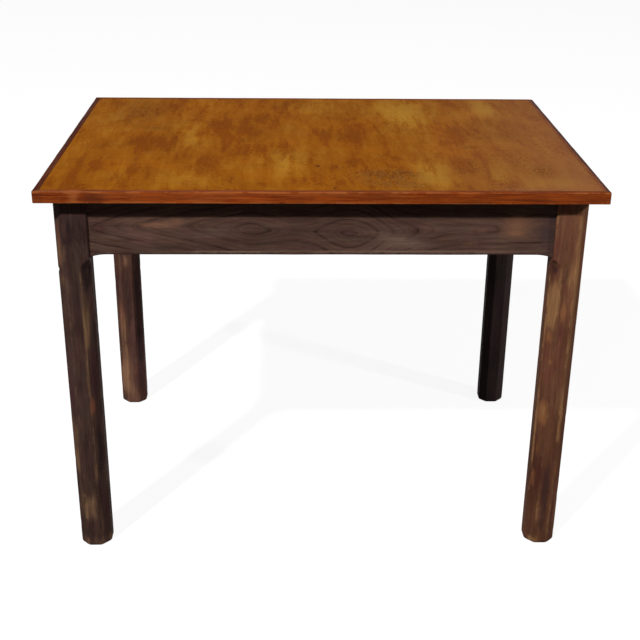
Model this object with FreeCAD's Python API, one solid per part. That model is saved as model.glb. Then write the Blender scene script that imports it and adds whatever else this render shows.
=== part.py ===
import FreeCAD, Part
import math
import os

# A small work table: a veneered panel top with mitred solid lipping, on four stop-chamfered
# legs joined by four tenoned aprons. Lengths are millimetres. X runs along the width, the
# front faces -Y and Z is up. The origin is on the floor, under the middle of the top.

# Whole table
table_width = 1000.0
table_depth = 715.0
table_height = 744.0

# Top panel and its lipping
top_thickness = 21.0
top_overhang = 26.0
veneer_thickness = 0.8
lipping_width = 11.0
lipping_arris_radius = 1.5
lipping_corner_radius = 2.5
worn_corner_radius = 9.0

# Legs
leg_section = 59.0
through_chamfer = 15.5
stopped_chamfer = 17.5
chamfer_runout = 24.0
chamfer_stop_gap = 0.5
leg_arris_radius = 3.0
foot_easing = 4.0

# Aprons
apron_height = 106.5
apron_thickness = 22.0
apron_setback = 6.5
apron_end_drop = 5.5
apron_end_length = 30.0
apron_face_arris_radius = 4.0
apron_back_arris_radius = 1.5

# Tenons and their mortises
tenon_thickness = 8.0
tenon_length = 32.0
tenon_head_shoulder = 20.0
tenon_foot_shoulder = 14.0
tenon_clearance = 0.1
mortise_end_gap = 1.5

# Groove for the top buttons
groove_drop = 10.0
groove_height = 8.0
groove_depth = 9.0

# Top buttons
button_width = 34.0
button_length = 40.0
button_thickness = 20.0
button_gap = 2.0
button_bevel = 6.0
tongue_reach = 6.5
tongue_clearance = 0.5
button_screw_setback = 17.0
long_side_button_shares = (-0.35, 0.0, 0.35)
short_side_button_shares = (-0.25, 0.25)

# Corner blocks
block_thickness = 28.0
block_height = 60.0
block_headroom = 2.0
block_screw_grip = 14.0
block_screw_place_share = 0.42
block_screw_height_shares = (0.25, 0.75)

# Wood screws
screw_radius = 2.0
screw_clearance = 0.15
screw_point_length = 6.0
screw_head_radius = 3.9
screw_head_height = 2.6
screw_slot_width = 1.0
screw_slot_depth = 1.1
counterbore_clearance = 0.8
block_screw_length = 28.0
button_screw_length = 32.0
pilot_end_gap = 1.0

# Length by which every cutting shape runs past what it cuts
overrun = 2.0

# How near an edge must lie to a face's plane to count as lying in it
plane_tolerance = 0.05

# Values worked out from the sizes above
underside = table_height - top_thickness
leg_face_x = table_width / 2 - top_overhang
leg_face_y = table_depth / 2 - top_overhang
apron_face_x = leg_face_x - apron_setback
apron_face_y = leg_face_y - apron_setback
apron_inner_x = apron_face_x - apron_thickness
apron_inner_y = apron_face_y - apron_thickness
long_apron_length = 2 * (leg_face_x - leg_section)
short_apron_length = 2 * (leg_face_y - leg_section)
apron_middle_z = underside - apron_height
apron_end_z = apron_middle_z - apron_end_drop
tenon_low_z = apron_end_z + tenon_foot_shoulder
tenon_high_z = underside - tenon_head_shoulder
groove_high_z = underside - groove_drop
groove_low_z = groove_high_z - groove_height
leg_reach_inside = leg_section - apron_setback - apron_thickness
block_seat = 2 * leg_reach_inside - through_chamfer
block_wing = block_thickness * math.sqrt(2)
block_high_z = underside - max(button_thickness, groove_drop + groove_height) - block_headroom
block_low_z = block_high_z - block_height
corner_signs = {
    "front_left": (-1, -1),
    "front_right": (1, -1),
    "back_left": (-1, 1),
    "back_right": (1, 1),
}
quarter_turn = math.degrees(math.pi / 2)


def vector(x, y, z):
    return FreeCAD.Vector(x, y, z)


def box_between(x0, y0, z0, x1, y1, z1):
    """A box between two opposite corners, given in any order."""
    low = vector(min(x0, x1), min(y0, y1), min(z0, z1))
    return Part.makeBox(abs(x1 - x0), abs(y1 - y0), abs(z1 - z0), low)


def prism(plan_points, low_z, high_z):
    """An upright prism over a closed outline in plan."""
    points = [vector(x, y, low_z) for x, y in plan_points]
    outline = Part.makePolygon(points + points[:1])
    return Part.Face(outline).extrude(vector(0, 0, high_z - low_z))


def arc_between(start, middle, end):
    return Part.Arc(start, middle, end).toShape()


def line_between(start, end):
    return Part.LineSegment(start, end).toShape()


# Wood screws

def wood_screw(length):
    """A slotted round-head screw that points down, with the seat of its head at the origin."""
    profile = [
        line_between(vector(0, 0, -length), vector(screw_radius, 0, screw_point_length - length)),
        line_between(vector(screw_radius, 0, screw_point_length - length), vector(screw_radius, 0, 0)),
        line_between(vector(screw_radius, 0, 0), vector(screw_head_radius, 0, 0)),
        arc_between(
            vector(screw_head_radius, 0, 0),
            vector(screw_head_radius / math.sqrt(2), 0, screw_head_height / math.sqrt(2)),
            vector(0, 0, screw_head_height),
        ),
        line_between(vector(0, 0, screw_head_height), vector(0, 0, -length)),
    ]
    turned = Part.Face(Part.Wire(profile)).revolve(vector(0, 0, 0), vector(0, 0, 1), 4 * quarter_turn)
    slot = box_between(
        -screw_head_radius,
        -screw_slot_width / 2,
        screw_head_height - screw_slot_depth,
        screw_head_radius,
        screw_slot_width / 2,
        screw_head_height + overrun,
    )
    return turned.cut(slot)


def driven_screw(length, seat, direction):
    """The screw with its head on seat, driven along direction."""
    screw = wood_screw(length)
    screw.Placement = FreeCAD.Placement(seat, FreeCAD.Rotation(vector(0, 0, -1), direction))
    return screw


def screw_hole(length, seat, direction):
    """A round hole from just above a screw's seat to just past its point."""
    start = seat - direction * overrun
    depth = length + overrun + pilot_end_gap
    return Part.makeCylinder(screw_radius + screw_clearance, depth, start, direction)


# Sides of the frame

def side_table():
    """Each side's turn about Z, the distance of its apron face and the length between its legs."""
    return {
        "front": (2 * quarter_turn, apron_face_y, long_apron_length),
        "back": (0, apron_face_y, long_apron_length),
        "left": (quarter_turn, apron_face_x, short_apron_length),
        "right": (-quarter_turn, apron_face_x, short_apron_length),
    }


def turned_to_side(shape, side):
    """Turns a shape made for the back side, where +Y points outwards, to another side."""
    turn = side_table()[side][0]
    shape.rotate(vector(0, 0, 0), vector(0, 0, 1), turn)
    return shape


# Top buttons

def button_places():
    """Side name and distance along the apron of each button."""
    places = []
    for side in side_table():
        length = side_table()[side][2]
        long_side = side in ("front", "back")
        shares = long_side_button_shares if long_side else short_side_button_shares
        places += [(side, share * length) for share in shares]
    return places


def button_screw_seat(face, along):
    """The middle of the button's lower face, where its screw's head rests."""
    inner_face = face - apron_thickness
    return vector(along, inner_face - button_gap - button_screw_setback, underside - button_thickness)


def top_button(side, along):
    """One button: a bevelled block against the top, and a tongue in the apron's groove."""
    face = side_table()[side][1]
    near = face - apron_thickness - button_gap
    far = near - button_length
    low_z = underside - button_thickness
    outline = [
        vector(along - button_width / 2, near, low_z),
        vector(along - button_width / 2, near, groove_low_z + tongue_clearance),
        vector(along - button_width / 2, near + button_gap + tongue_reach, groove_low_z + tongue_clearance),
        vector(along - button_width / 2, near + button_gap + tongue_reach, groove_high_z),
        vector(along - button_width / 2, near, groove_high_z),
        vector(along - button_width / 2, near, underside),
        vector(along - button_width / 2, far, underside),
        vector(along - button_width / 2, far, low_z + button_bevel),
        vector(along - button_width / 2, far + button_bevel, low_z),
    ]
    block = Part.Face(Part.makePolygon(outline + outline[:1])).extrude(vector(button_width, 0, 0))
    hole = screw_hole(button_screw_length, button_screw_seat(face, along), vector(0, 0, 1))
    return turned_to_side(block.cut(hole), side)


def button_screw(side, along):
    seat = button_screw_seat(side_table()[side][1], along)
    return turned_to_side(driven_screw(button_screw_length, seat, vector(0, 0, 1)), side)


def button_screw_holes():
    """The holes that the button screws make in the top."""
    holes = []
    for side, along in button_places():
        seat = button_screw_seat(side_table()[side][1], along)
        holes.append(turned_to_side(screw_hole(button_screw_length, seat, vector(0, 0, 1)), side))
    return holes


# Corner blocks

def from_corner(signs, along_x, along_y, z):
    """A point measured inwards from where the inner faces of two aprons meet."""
    return vector(signs[0] * (apron_inner_x - along_x), signs[1] * (apron_inner_y - along_y), z)


def block_screw_sites(signs):
    """Seat and direction of each screw that holds one corner block to its two aprons."""
    place = block_seat + block_wing * block_screw_place_share
    sites = []
    for share in block_screw_height_shares:
        z = block_low_z + block_height * share
        sites.append((from_corner(signs, place, block_screw_grip, z), vector(0, signs[1], 0)))
        sites.append((from_corner(signs, block_screw_grip, place, z), vector(signs[0], 0, 0)))
    return sites


def corner_block(signs):
    """A diagonal brace, flat on both aprons and on the leg's inner chamfer."""
    plan = [
        from_corner(signs, block_seat, 0, 0),
        from_corner(signs, block_seat + block_wing, 0, 0),
        from_corner(signs, 0, block_seat + block_wing, 0),
        from_corner(signs, 0, block_seat, 0),
    ]
    block = prism([(point.x, point.y) for point in plan], block_low_z, block_high_z)
    cuts = []
    for seat, direction in block_screw_sites(signs):
        cuts.append(screw_hole(block_screw_length, seat, direction))
        head_room = screw_head_radius + counterbore_clearance
        cuts.append(Part.makeCylinder(head_room, block_wing, seat, -direction))
    return block.cut(cuts)


def all_block_screw_sites():
    sites = []
    for signs in corner_signs.values():
        sites += block_screw_sites(signs)
    return sites


# Aprons

def apron_board(face, length):
    """The board between two legs, with its relieved and rounded lower edge."""
    half = length / 2
    bend = half - apron_end_length
    bend_radius = (apron_end_length ** 2 + apron_end_drop ** 2) / (2 * apron_end_drop)
    half_run = apron_end_length / 2
    half_drop = bend_radius - math.sqrt(bend_radius ** 2 - half_run ** 2)
    back = face - apron_thickness
    profile = Part.Wire([
        line_between(vector(-half, back, underside), vector(half, back, underside)),
        line_between(vector(half, back, underside), vector(half, back, apron_end_z)),
        arc_between(
            vector(half, back, apron_end_z),
            vector(bend + half_run, back, apron_middle_z - half_drop),
            vector(bend, back, apron_middle_z),
        ),
        line_between(vector(bend, back, apron_middle_z), vector(-bend, back, apron_middle_z)),
        arc_between(
            vector(-bend, back, apron_middle_z),
            vector(-bend - half_run, back, apron_middle_z - half_drop),
            vector(-half, back, apron_end_z),
        ),
        line_between(vector(-half, back, apron_end_z), vector(-half, back, underside)),
    ])
    board = Part.Face(profile).extrude(vector(0, apron_thickness, 0))
    board = board.makeFillet(apron_face_arris_radius, lower_edges(board, face))
    return board.makeFillet(apron_back_arris_radius, lower_edges(board, back))


def lower_edges(board, face):
    """The board's long lower edges that lie in the plane of one of its faces."""
    found = []
    for edge in board.Edges:
        box = edge.BoundBox
        on_face = abs(box.YMin - face) < plane_tolerance and abs(box.YMax - face) < plane_tolerance
        lower = box.ZMax < apron_middle_z + plane_tolerance
        if on_face and lower:
            found.append(edge)
    return found


def apron(side):
    """One apron: board, two tenons, groove for the buttons and holes for the block screws."""
    face, length = side_table()[side][1:]
    board = apron_board(face, length)
    middle = face - apron_thickness / 2
    tenons = [
        box_between(
            end * length / 2,
            middle - tenon_thickness / 2,
            tenon_low_z,
            end * (length / 2 + tenon_length),
            middle + tenon_thickness / 2,
            tenon_high_z,
        )
        for end in (-1, 1)
    ]
    inner_face = face - apron_thickness
    groove = box_between(
        -length / 2,
        inner_face - overrun,
        groove_low_z,
        length / 2,
        inner_face + groove_depth,
        groove_high_z,
    )
    whole = turned_to_side(board.cut(groove).fuse(tenons).removeSplitter(), side)
    holes = [screw_hole(block_screw_length, seat, direction) for seat, direction in all_block_screw_sites()]
    return whole.cut(holes)


# Legs

def chamfer_cutter(corner_x, corner_y, toward, stopped):
    """What a chamfer takes off an upright corner; a stopped one curves out under the apron."""
    width = stopped_chamfer if stopped else through_chamfer
    depth = width / math.sqrt(2)
    reach = width + overrun
    inward = vector(-toward[0], -toward[1], 0) / math.sqrt(2)
    across = vector(toward[1], -toward[0], 0) / math.sqrt(2)
    start = vector(corner_x, corner_y, 0) - across * reach

    def point(into, z):
        return start + inward * into + vector(0, 0, z)

    if not stopped:
        corners = [
            point(-overrun, -overrun),
            point(depth, -overrun),
            point(depth, underside + overrun),
            point(-overrun, underside + overrun),
        ]
        return Part.Face(Part.makePolygon(corners + corners[:1])).extrude(across * (2 * reach))
    radius = (chamfer_runout ** 2 + depth ** 2) / (2 * depth)
    arc_low_z = apron_end_z - chamfer_stop_gap - chamfer_runout
    arc_rise = math.sqrt(radius ** 2 - (radius - depth - overrun) ** 2)
    half_rise = arc_rise / 2
    half_into = depth - radius + math.sqrt(radius ** 2 - half_rise ** 2)
    outline = Part.Wire([
        line_between(point(-overrun, -overrun), point(depth, -overrun)),
        line_between(point(depth, -overrun), point(depth, arc_low_z)),
        arc_between(
            point(depth, arc_low_z),
            point(half_into, arc_low_z + half_rise),
            point(-overrun, arc_low_z + arc_rise),
        ),
        line_between(point(-overrun, arc_low_z + arc_rise), point(-overrun, -overrun)),
    ])
    return Part.Face(outline).extrude(across * (2 * reach))


def mortises(signs):
    """The two mortises of one leg, for the tenon along X and the tenon along Y."""
    depth = tenon_length + mortise_end_gap
    half = tenon_thickness / 2 + tenon_clearance
    low_z = tenon_low_z - tenon_clearance
    high_z = tenon_high_z + tenon_clearance
    entry_x = leg_face_x - leg_section
    entry_y = leg_face_y - leg_section
    middle_x = apron_face_x - apron_thickness / 2
    middle_y = apron_face_y - apron_thickness / 2
    along_x = box_between(
        signs[0] * (entry_x - overrun),
        signs[1] * (middle_y - half),
        low_z,
        signs[0] * (entry_x + depth),
        signs[1] * (middle_y + half),
        high_z,
    )
    along_y = box_between(
        signs[0] * (middle_x - half),
        signs[1] * (entry_y - overrun),
        low_z,
        signs[0] * (middle_x + half),
        signs[1] * (entry_y + depth),
        high_z,
    )
    return [along_x, along_y]


def leg(signs):
    """One leg: square stock with two through chamfers, two stopped chamfers and two mortises."""
    inner_x = leg_face_x - leg_section
    inner_y = leg_face_y - leg_section
    stock = box_between(
        signs[0] * inner_x,
        signs[1] * inner_y,
        0,
        signs[0] * leg_face_x,
        signs[1] * leg_face_y,
        underside,
    )
    cutters = []
    for side_x in (-1, 1):
        for side_y in (-1, 1):
            corner_x = signs[0] * (leg_face_x if side_x > 0 else inner_x)
            corner_y = signs[1] * (leg_face_y if side_y > 0 else inner_y)
            toward = (signs[0] * side_x, signs[1] * side_y)
            cutters.append(chamfer_cutter(corner_x, corner_y, toward, side_x != side_y))
    body = stock.cut(cutters)
    foot_edges = [edge for edge in body.Edges if edge.BoundBox.ZMax < foot_easing]
    body = body.makeChamfer(foot_easing, foot_edges)
    long_edges = [edge for edge in body.Edges if edge.BoundBox.ZLength > chamfer_runout / 2]
    body = body.makeFillet(leg_arris_radius, long_edges)
    return body.cut(mortises(signs))


# Top

def lipping_ring():
    """The whole lipping as one ring, with rounded corners and arrises."""
    half_x = table_width / 2
    half_y = table_depth / 2
    ring = box_between(-half_x, -half_y, underside, half_x, half_y, table_height)
    for edge_x, edge_y in corner_signs.values():
        worn = edge_x > 0 and edge_y > 0
        radius = worn_corner_radius if worn else lipping_corner_radius
        ring = ring.makeFillet(radius, [upright_edge_at(ring, edge_x * half_x, edge_y * half_y)])
    level = [edge for edge in ring.Edges if edge.BoundBox.ZLength < lipping_arris_radius]
    ring = ring.makeFillet(lipping_arris_radius, level)
    opening = box_between(
        lipping_width - half_x,
        lipping_width - half_y,
        underside - overrun,
        half_x - lipping_width,
        half_y - lipping_width,
        table_height + overrun,
    )
    return ring.cut(opening)


def upright_edge_at(shape, x, y):
    """The edge of a shape that stands on the point x, y."""
    def distance(edge):
        middle = edge.BoundBox.Center
        return math.hypot(middle.x - x, middle.y - y)

    return min(shape.Edges, key=distance)


def lipping(side):
    """One strip of the ring, cut at 45 degrees at both ends."""
    half_x = table_width / 2
    half_y = table_depth / 2
    inset = lipping_width + overrun
    outset = overrun
    long_side = side in ("front", "back")
    along = half_x if long_side else half_y
    out = half_y if long_side else half_x
    plan = [
        (-along - outset, out + outset),
        (along + outset, out + outset),
        (along - inset, out - inset),
        (inset - along, out - inset),
    ]
    wedge = turned_to_side(prism(plan, underside - overrun, table_height + overrun), side)
    return lipping_ring().common(wedge)


def panel_sheet(low_z, high_z):
    """A sheet that fills the lipping between two heights."""
    half_x = table_width / 2 - lipping_width
    half_y = table_depth / 2 - lipping_width
    return box_between(-half_x, -half_y, low_z, half_x, half_y, high_z)


# Writing the nodes

def write(name, shape):
    """Writes one sub-part after checking that it is whole."""
    solids = shape.Solids
    if not solids or not shape.isValid():
        raise ValueError(name + " is not a valid solid")
    kept = solids[0] if len(solids) == 1 else Part.makeCompound(solids)
    kept.exportStep("parts/" + name + ".step")
    print(name, len(solids), "solid(s)", round(kept.Volume), "mm3")


def main():
    os.makedirs("parts", exist_ok=True)
    core_low_z = underside + veneer_thickness
    core_high_z = table_height - veneer_thickness
    holes = button_screw_holes()
    write("top_core", panel_sheet(core_low_z, core_high_z).cut(holes))
    write("top_face_veneer", panel_sheet(core_high_z, table_height))
    write("top_backing_veneer", panel_sheet(underside, core_low_z).cut(holes))
    for side in side_table():
        write("lipping_" + side, lipping(side))
        write("apron_" + side, apron(side))
    for corner, signs in corner_signs.items():
        write("leg_" + corner, leg(signs))
        write("corner_block_" + corner, corner_block(signs))
    block_screws = [
        driven_screw(block_screw_length, seat, direction) for seat, direction in all_block_screw_sites()
    ]
    write("corner_block_screws", Part.makeCompound(block_screws))
    write("top_buttons", Part.makeCompound([top_button(*place) for place in button_places()]))
    write("top_button_screws", Part.makeCompound([button_screw(*place) for place in button_places()]))


main()
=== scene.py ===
"""Looks of a small work table: a worn golden veneered top, its lipping and a dark-stained frame.

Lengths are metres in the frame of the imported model: X along the width, the front faces -Y, Z up.
"""
import logging
import math
from dataclasses import dataclass, field
from enum import Enum

import bpy
import numpy as np
from mathutils import Matrix, Vector


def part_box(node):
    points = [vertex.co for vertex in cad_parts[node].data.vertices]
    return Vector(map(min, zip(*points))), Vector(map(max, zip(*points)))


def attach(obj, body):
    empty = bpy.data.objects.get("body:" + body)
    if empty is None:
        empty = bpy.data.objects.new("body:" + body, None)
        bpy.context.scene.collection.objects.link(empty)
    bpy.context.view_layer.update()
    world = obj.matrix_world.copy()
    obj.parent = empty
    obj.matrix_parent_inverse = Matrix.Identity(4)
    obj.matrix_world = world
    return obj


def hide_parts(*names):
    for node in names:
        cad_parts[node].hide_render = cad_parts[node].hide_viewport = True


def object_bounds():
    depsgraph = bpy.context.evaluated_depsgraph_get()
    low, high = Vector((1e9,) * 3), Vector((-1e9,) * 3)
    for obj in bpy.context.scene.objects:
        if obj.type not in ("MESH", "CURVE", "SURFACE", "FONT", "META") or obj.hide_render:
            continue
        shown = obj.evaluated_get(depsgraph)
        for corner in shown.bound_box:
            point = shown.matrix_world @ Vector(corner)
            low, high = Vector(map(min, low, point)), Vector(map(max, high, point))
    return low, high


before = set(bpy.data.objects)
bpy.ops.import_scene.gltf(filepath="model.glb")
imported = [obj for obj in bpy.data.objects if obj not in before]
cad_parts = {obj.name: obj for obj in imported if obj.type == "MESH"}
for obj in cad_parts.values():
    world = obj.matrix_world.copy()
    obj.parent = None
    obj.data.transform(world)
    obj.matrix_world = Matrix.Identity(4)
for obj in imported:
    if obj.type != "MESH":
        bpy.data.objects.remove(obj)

CAD_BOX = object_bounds()
LOG = logging.getLogger("work_table")
EIGHTH_TURN = math.pi / 4
FULL_TURN = 360.0
NO_TURN = 1e9
SHARP_ANGLE = math.radians(38.0)

Triple = tuple[float, float, float]
Colour = tuple[float, float, float, float]
Course = tuple[tuple[float, ...], tuple[float, ...]]
Socket = bpy.types.NodeSocket
Sockets = dict[str, Socket]
Feeds = dict[str | int, object]


class Corner(Enum):
    """The table's corners, each with the signs of its X and Y."""

    FRONT_LEFT = (-1, -1)
    FRONT_RIGHT = (1, -1)
    BACK_LEFT = (-1, 1)
    BACK_RIGHT = (1, 1)


class Side(Enum):
    """The table's sides, each with its turn about Z in quarter turns from the back."""

    FRONT = 2
    BACK = 0
    LEFT = 1
    RIGHT = 3


class Along(Enum):
    """The direction that a piece's grain runs in, as the order of X, Y and Z in log space."""

    WIDTH = ("X", "Y", "Z")
    DEPTH = ("Y", "X", "Z")
    HEIGHT = ("Z", "X", "Y")


def paint(red: float, green: float, blue: float) -> Colour:
    """Makes a colour, written as it shows on a screen, linear.

    Args:
        red: red from 0 to 255.
        green: green from 0 to 255.
        blue: blue from 0 to 255.

    Returns:
        The linear colour with an alpha of 1.
    """
    shares = np.array([red, green, blue]) / 255.0
    linear = np.where(shares <= 0.04045, shares / 12.92, ((shares + 0.055) / 1.055) ** 2.4)
    return (*linear.tolist(), 1.0)


def wander(place: np.ndarray, pitch: float, seed: int) -> np.ndarray:
    """Smooth random heights along a line.

    Random heights stand one pitch apart; between two of them the curve eases by 3t^2 - 2t^3.

    Args:
        place: distances along the line.
        pitch: distance between two of the random heights.
        seed: picks the heights.

    Returns:
        Heights from -1 to 1.
    """
    heights = np.random.default_rng(seed).uniform(-1.0, 1.0, 1024)
    steps = place / pitch + 512.0
    whole = np.floor(steps).astype(int)
    part = steps - whole
    ease = part * part * (3.0 - 2.0 * part)
    return heights[whole % 1024] * (1.0 - ease) + heights[(whole + 1) % 1024] * ease


def ripple(first: np.ndarray, second: np.ndarray, pitch: float, seed: int) -> np.ndarray:
    """Smooth random heights over a surface: three crossed waves of wandering phase, averaged.

    Args:
        first: first coordinate of the points.
        second: second coordinate of the points.
        pitch: length of the waves.
        seed: picks the waves.

    Returns:
        Heights from -1 to 1.
    """
    total = np.zeros(np.broadcast(first, second).shape)
    for turn in range(3):
        angle = 1.1 * turn + 0.4
        along = first * math.cos(angle) + second * math.sin(angle)
        across = second * math.cos(angle) - first * math.sin(angle)
        swung = along + pitch * wander(across, 2.0 * pitch, seed + turn)
        total = total + wander(swung, pitch, seed + 7 * turn)
    return total / 3.0


@dataclass(frozen=True)
class Patch:
    """A soft-edged place on a surface, in the surface's own two parameters.

    The cover is exp(-(|a|^edge + |b|^edge)), where a and b are the distances from the middle,
    each over its reach.
    """

    middle: tuple[float, float]
    reach: tuple[float, float]
    strength: float = 1.0
    edge: float = 2.5

    def cover(self, first: np.ndarray, second: np.ndarray, turn: float = NO_TURN) -> np.ndarray:
        """How strongly the patch covers each point.

        Args:
            first: first parameter of the points.
            second: second parameter of the points.
            turn: length after which the second parameter comes round again.

        Returns:
            Cover from 0 to the patch's strength.
        """
        away = np.abs(second - self.middle[1]) % turn
        away = np.minimum(away, turn - away) / self.reach[1]
        beside = np.abs(first - self.middle[0]) / self.reach[0]
        return self.strength * np.exp(-(beside ** self.edge + away ** self.edge))


def covered(places: tuple[Patch, ...], first: np.ndarray, second: np.ndarray,
            turn: float = NO_TURN) -> np.ndarray:
    """The sum of several patches' covers, no more than 1.

    Args:
        places: the patches.
        first: first parameter of the points.
        second: second parameter of the points.
        turn: length after which the second parameter comes round again.

    Returns:
        Cover from 0 to 1.
    """
    total = np.zeros(np.broadcast(first, second).shape)
    for patch in places:
        total = total + patch.cover(first, second, turn)
    return np.minimum(total, 1.0)


def patches(*rows: tuple[float, ...]) -> tuple[Patch, ...]:
    """Patches from rows of numbers: the middle, the reach and, where they differ, strength and edge."""
    return tuple(Patch(row[:2], row[2:4], *row[4:]) for row in rows)


@dataclass(frozen=True)
class WearAndShade:
    """Where a stained piece is rubbed, orange, purple-brown and dark, each by its own patches."""

    # Some dark and purple-brown patches are painted shade, laid where shade falls.
    worn: tuple[Patch, ...] = ()
    amber: tuple[Patch, ...] = ()
    plum: tuple[Patch, ...] = ()
    dusk: tuple[Patch, ...] = ()

    def values(self, first: np.ndarray, second: np.ndarray, turn: float = NO_TURN) -> dict[str, np.ndarray]:
        """How strongly each kind covers each point, by the name that the finish reads."""
        return {label: covered(spots, first, second, turn) for label, spots in vars(self).items()}


@dataclass
class Skin:
    """A closed surface of equal rings of points carried along a path.

    Each ring turns anticlockwise about the path's direction, so the faces point outwards. A flat
    face closes each end. Each set of values becomes an attribute that the finish reads.
    """

    points: np.ndarray
    values: dict[str, np.ndarray] = field(default_factory=dict)

    def build(self, name: str, material: bpy.types.Material) -> bpy.types.Object:
        """Makes the object.

        Args:
            name: the piece's name.
            material: the finish on all of it.

        Returns:
            The new object, at the origin, with its place in its mesh.
        """
        rings, around = self.points.shape[:2]
        ring = np.arange(around)
        after = (ring + 1) % around
        base = (np.arange(rings - 1) * around)[:, None]
        quads = np.stack([base + ring, base + after, base + around + after, base + around + ring], axis=-1)
        ends = [ring[::-1].tolist(), (ring + (rings - 1) * around).tolist()]
        mesh = bpy.data.meshes.new(name)
        mesh.from_pydata(self.points.reshape(-1, 3).tolist(), [], quads.reshape(-1, 4).tolist() + ends)
        mesh.polygons.foreach_set("use_smooth", np.ones(len(mesh.polygons), dtype=bool))
        mesh.set_sharp_from_angle(angle=SHARP_ANGLE)
        for label, numbers in self.values.items():
            layer = mesh.attributes.new(label, "FLOAT", "POINT")
            spread = np.broadcast_to(numbers, (rings, around)).astype(np.float32)
            layer.data.foreach_set("value", spread.ravel())
        mesh.materials.append(material)
        piece = bpy.data.objects.new(name, mesh)
        bpy.context.scene.collection.objects.link(piece)
        return piece


def turned(points: np.ndarray, quarter_turns: int) -> np.ndarray:
    """Points made for the back side, turned about Z to another side.

    Args:
        points: the points, with X, Y and Z along the last axis.
        quarter_turns: turns of 90 degrees, anticlockwise seen from above.

    Returns:
        The turned points.
    """
    angle = quarter_turns * math.pi / 2
    cosine, sine = round(math.cos(angle)), round(math.sin(angle))
    x, y, z = np.moveaxis(points, -1, 0)
    return np.stack([x * cosine - y * sine, x * sine + y * cosine, z], axis=-1)


def stand_for(piece: bpy.types.Object, node: str) -> bpy.types.Object:
    """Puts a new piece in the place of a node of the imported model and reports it.

    Args:
        piece: the new piece.
        node: the name of the node whose place it takes.

    Returns:
        The new piece.
    """
    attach(piece, "root")
    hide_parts(node)
    LOG.info("%s stands for %s: %d faces", piece.name, node, len(piece.data.polygons))
    return piece


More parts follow.
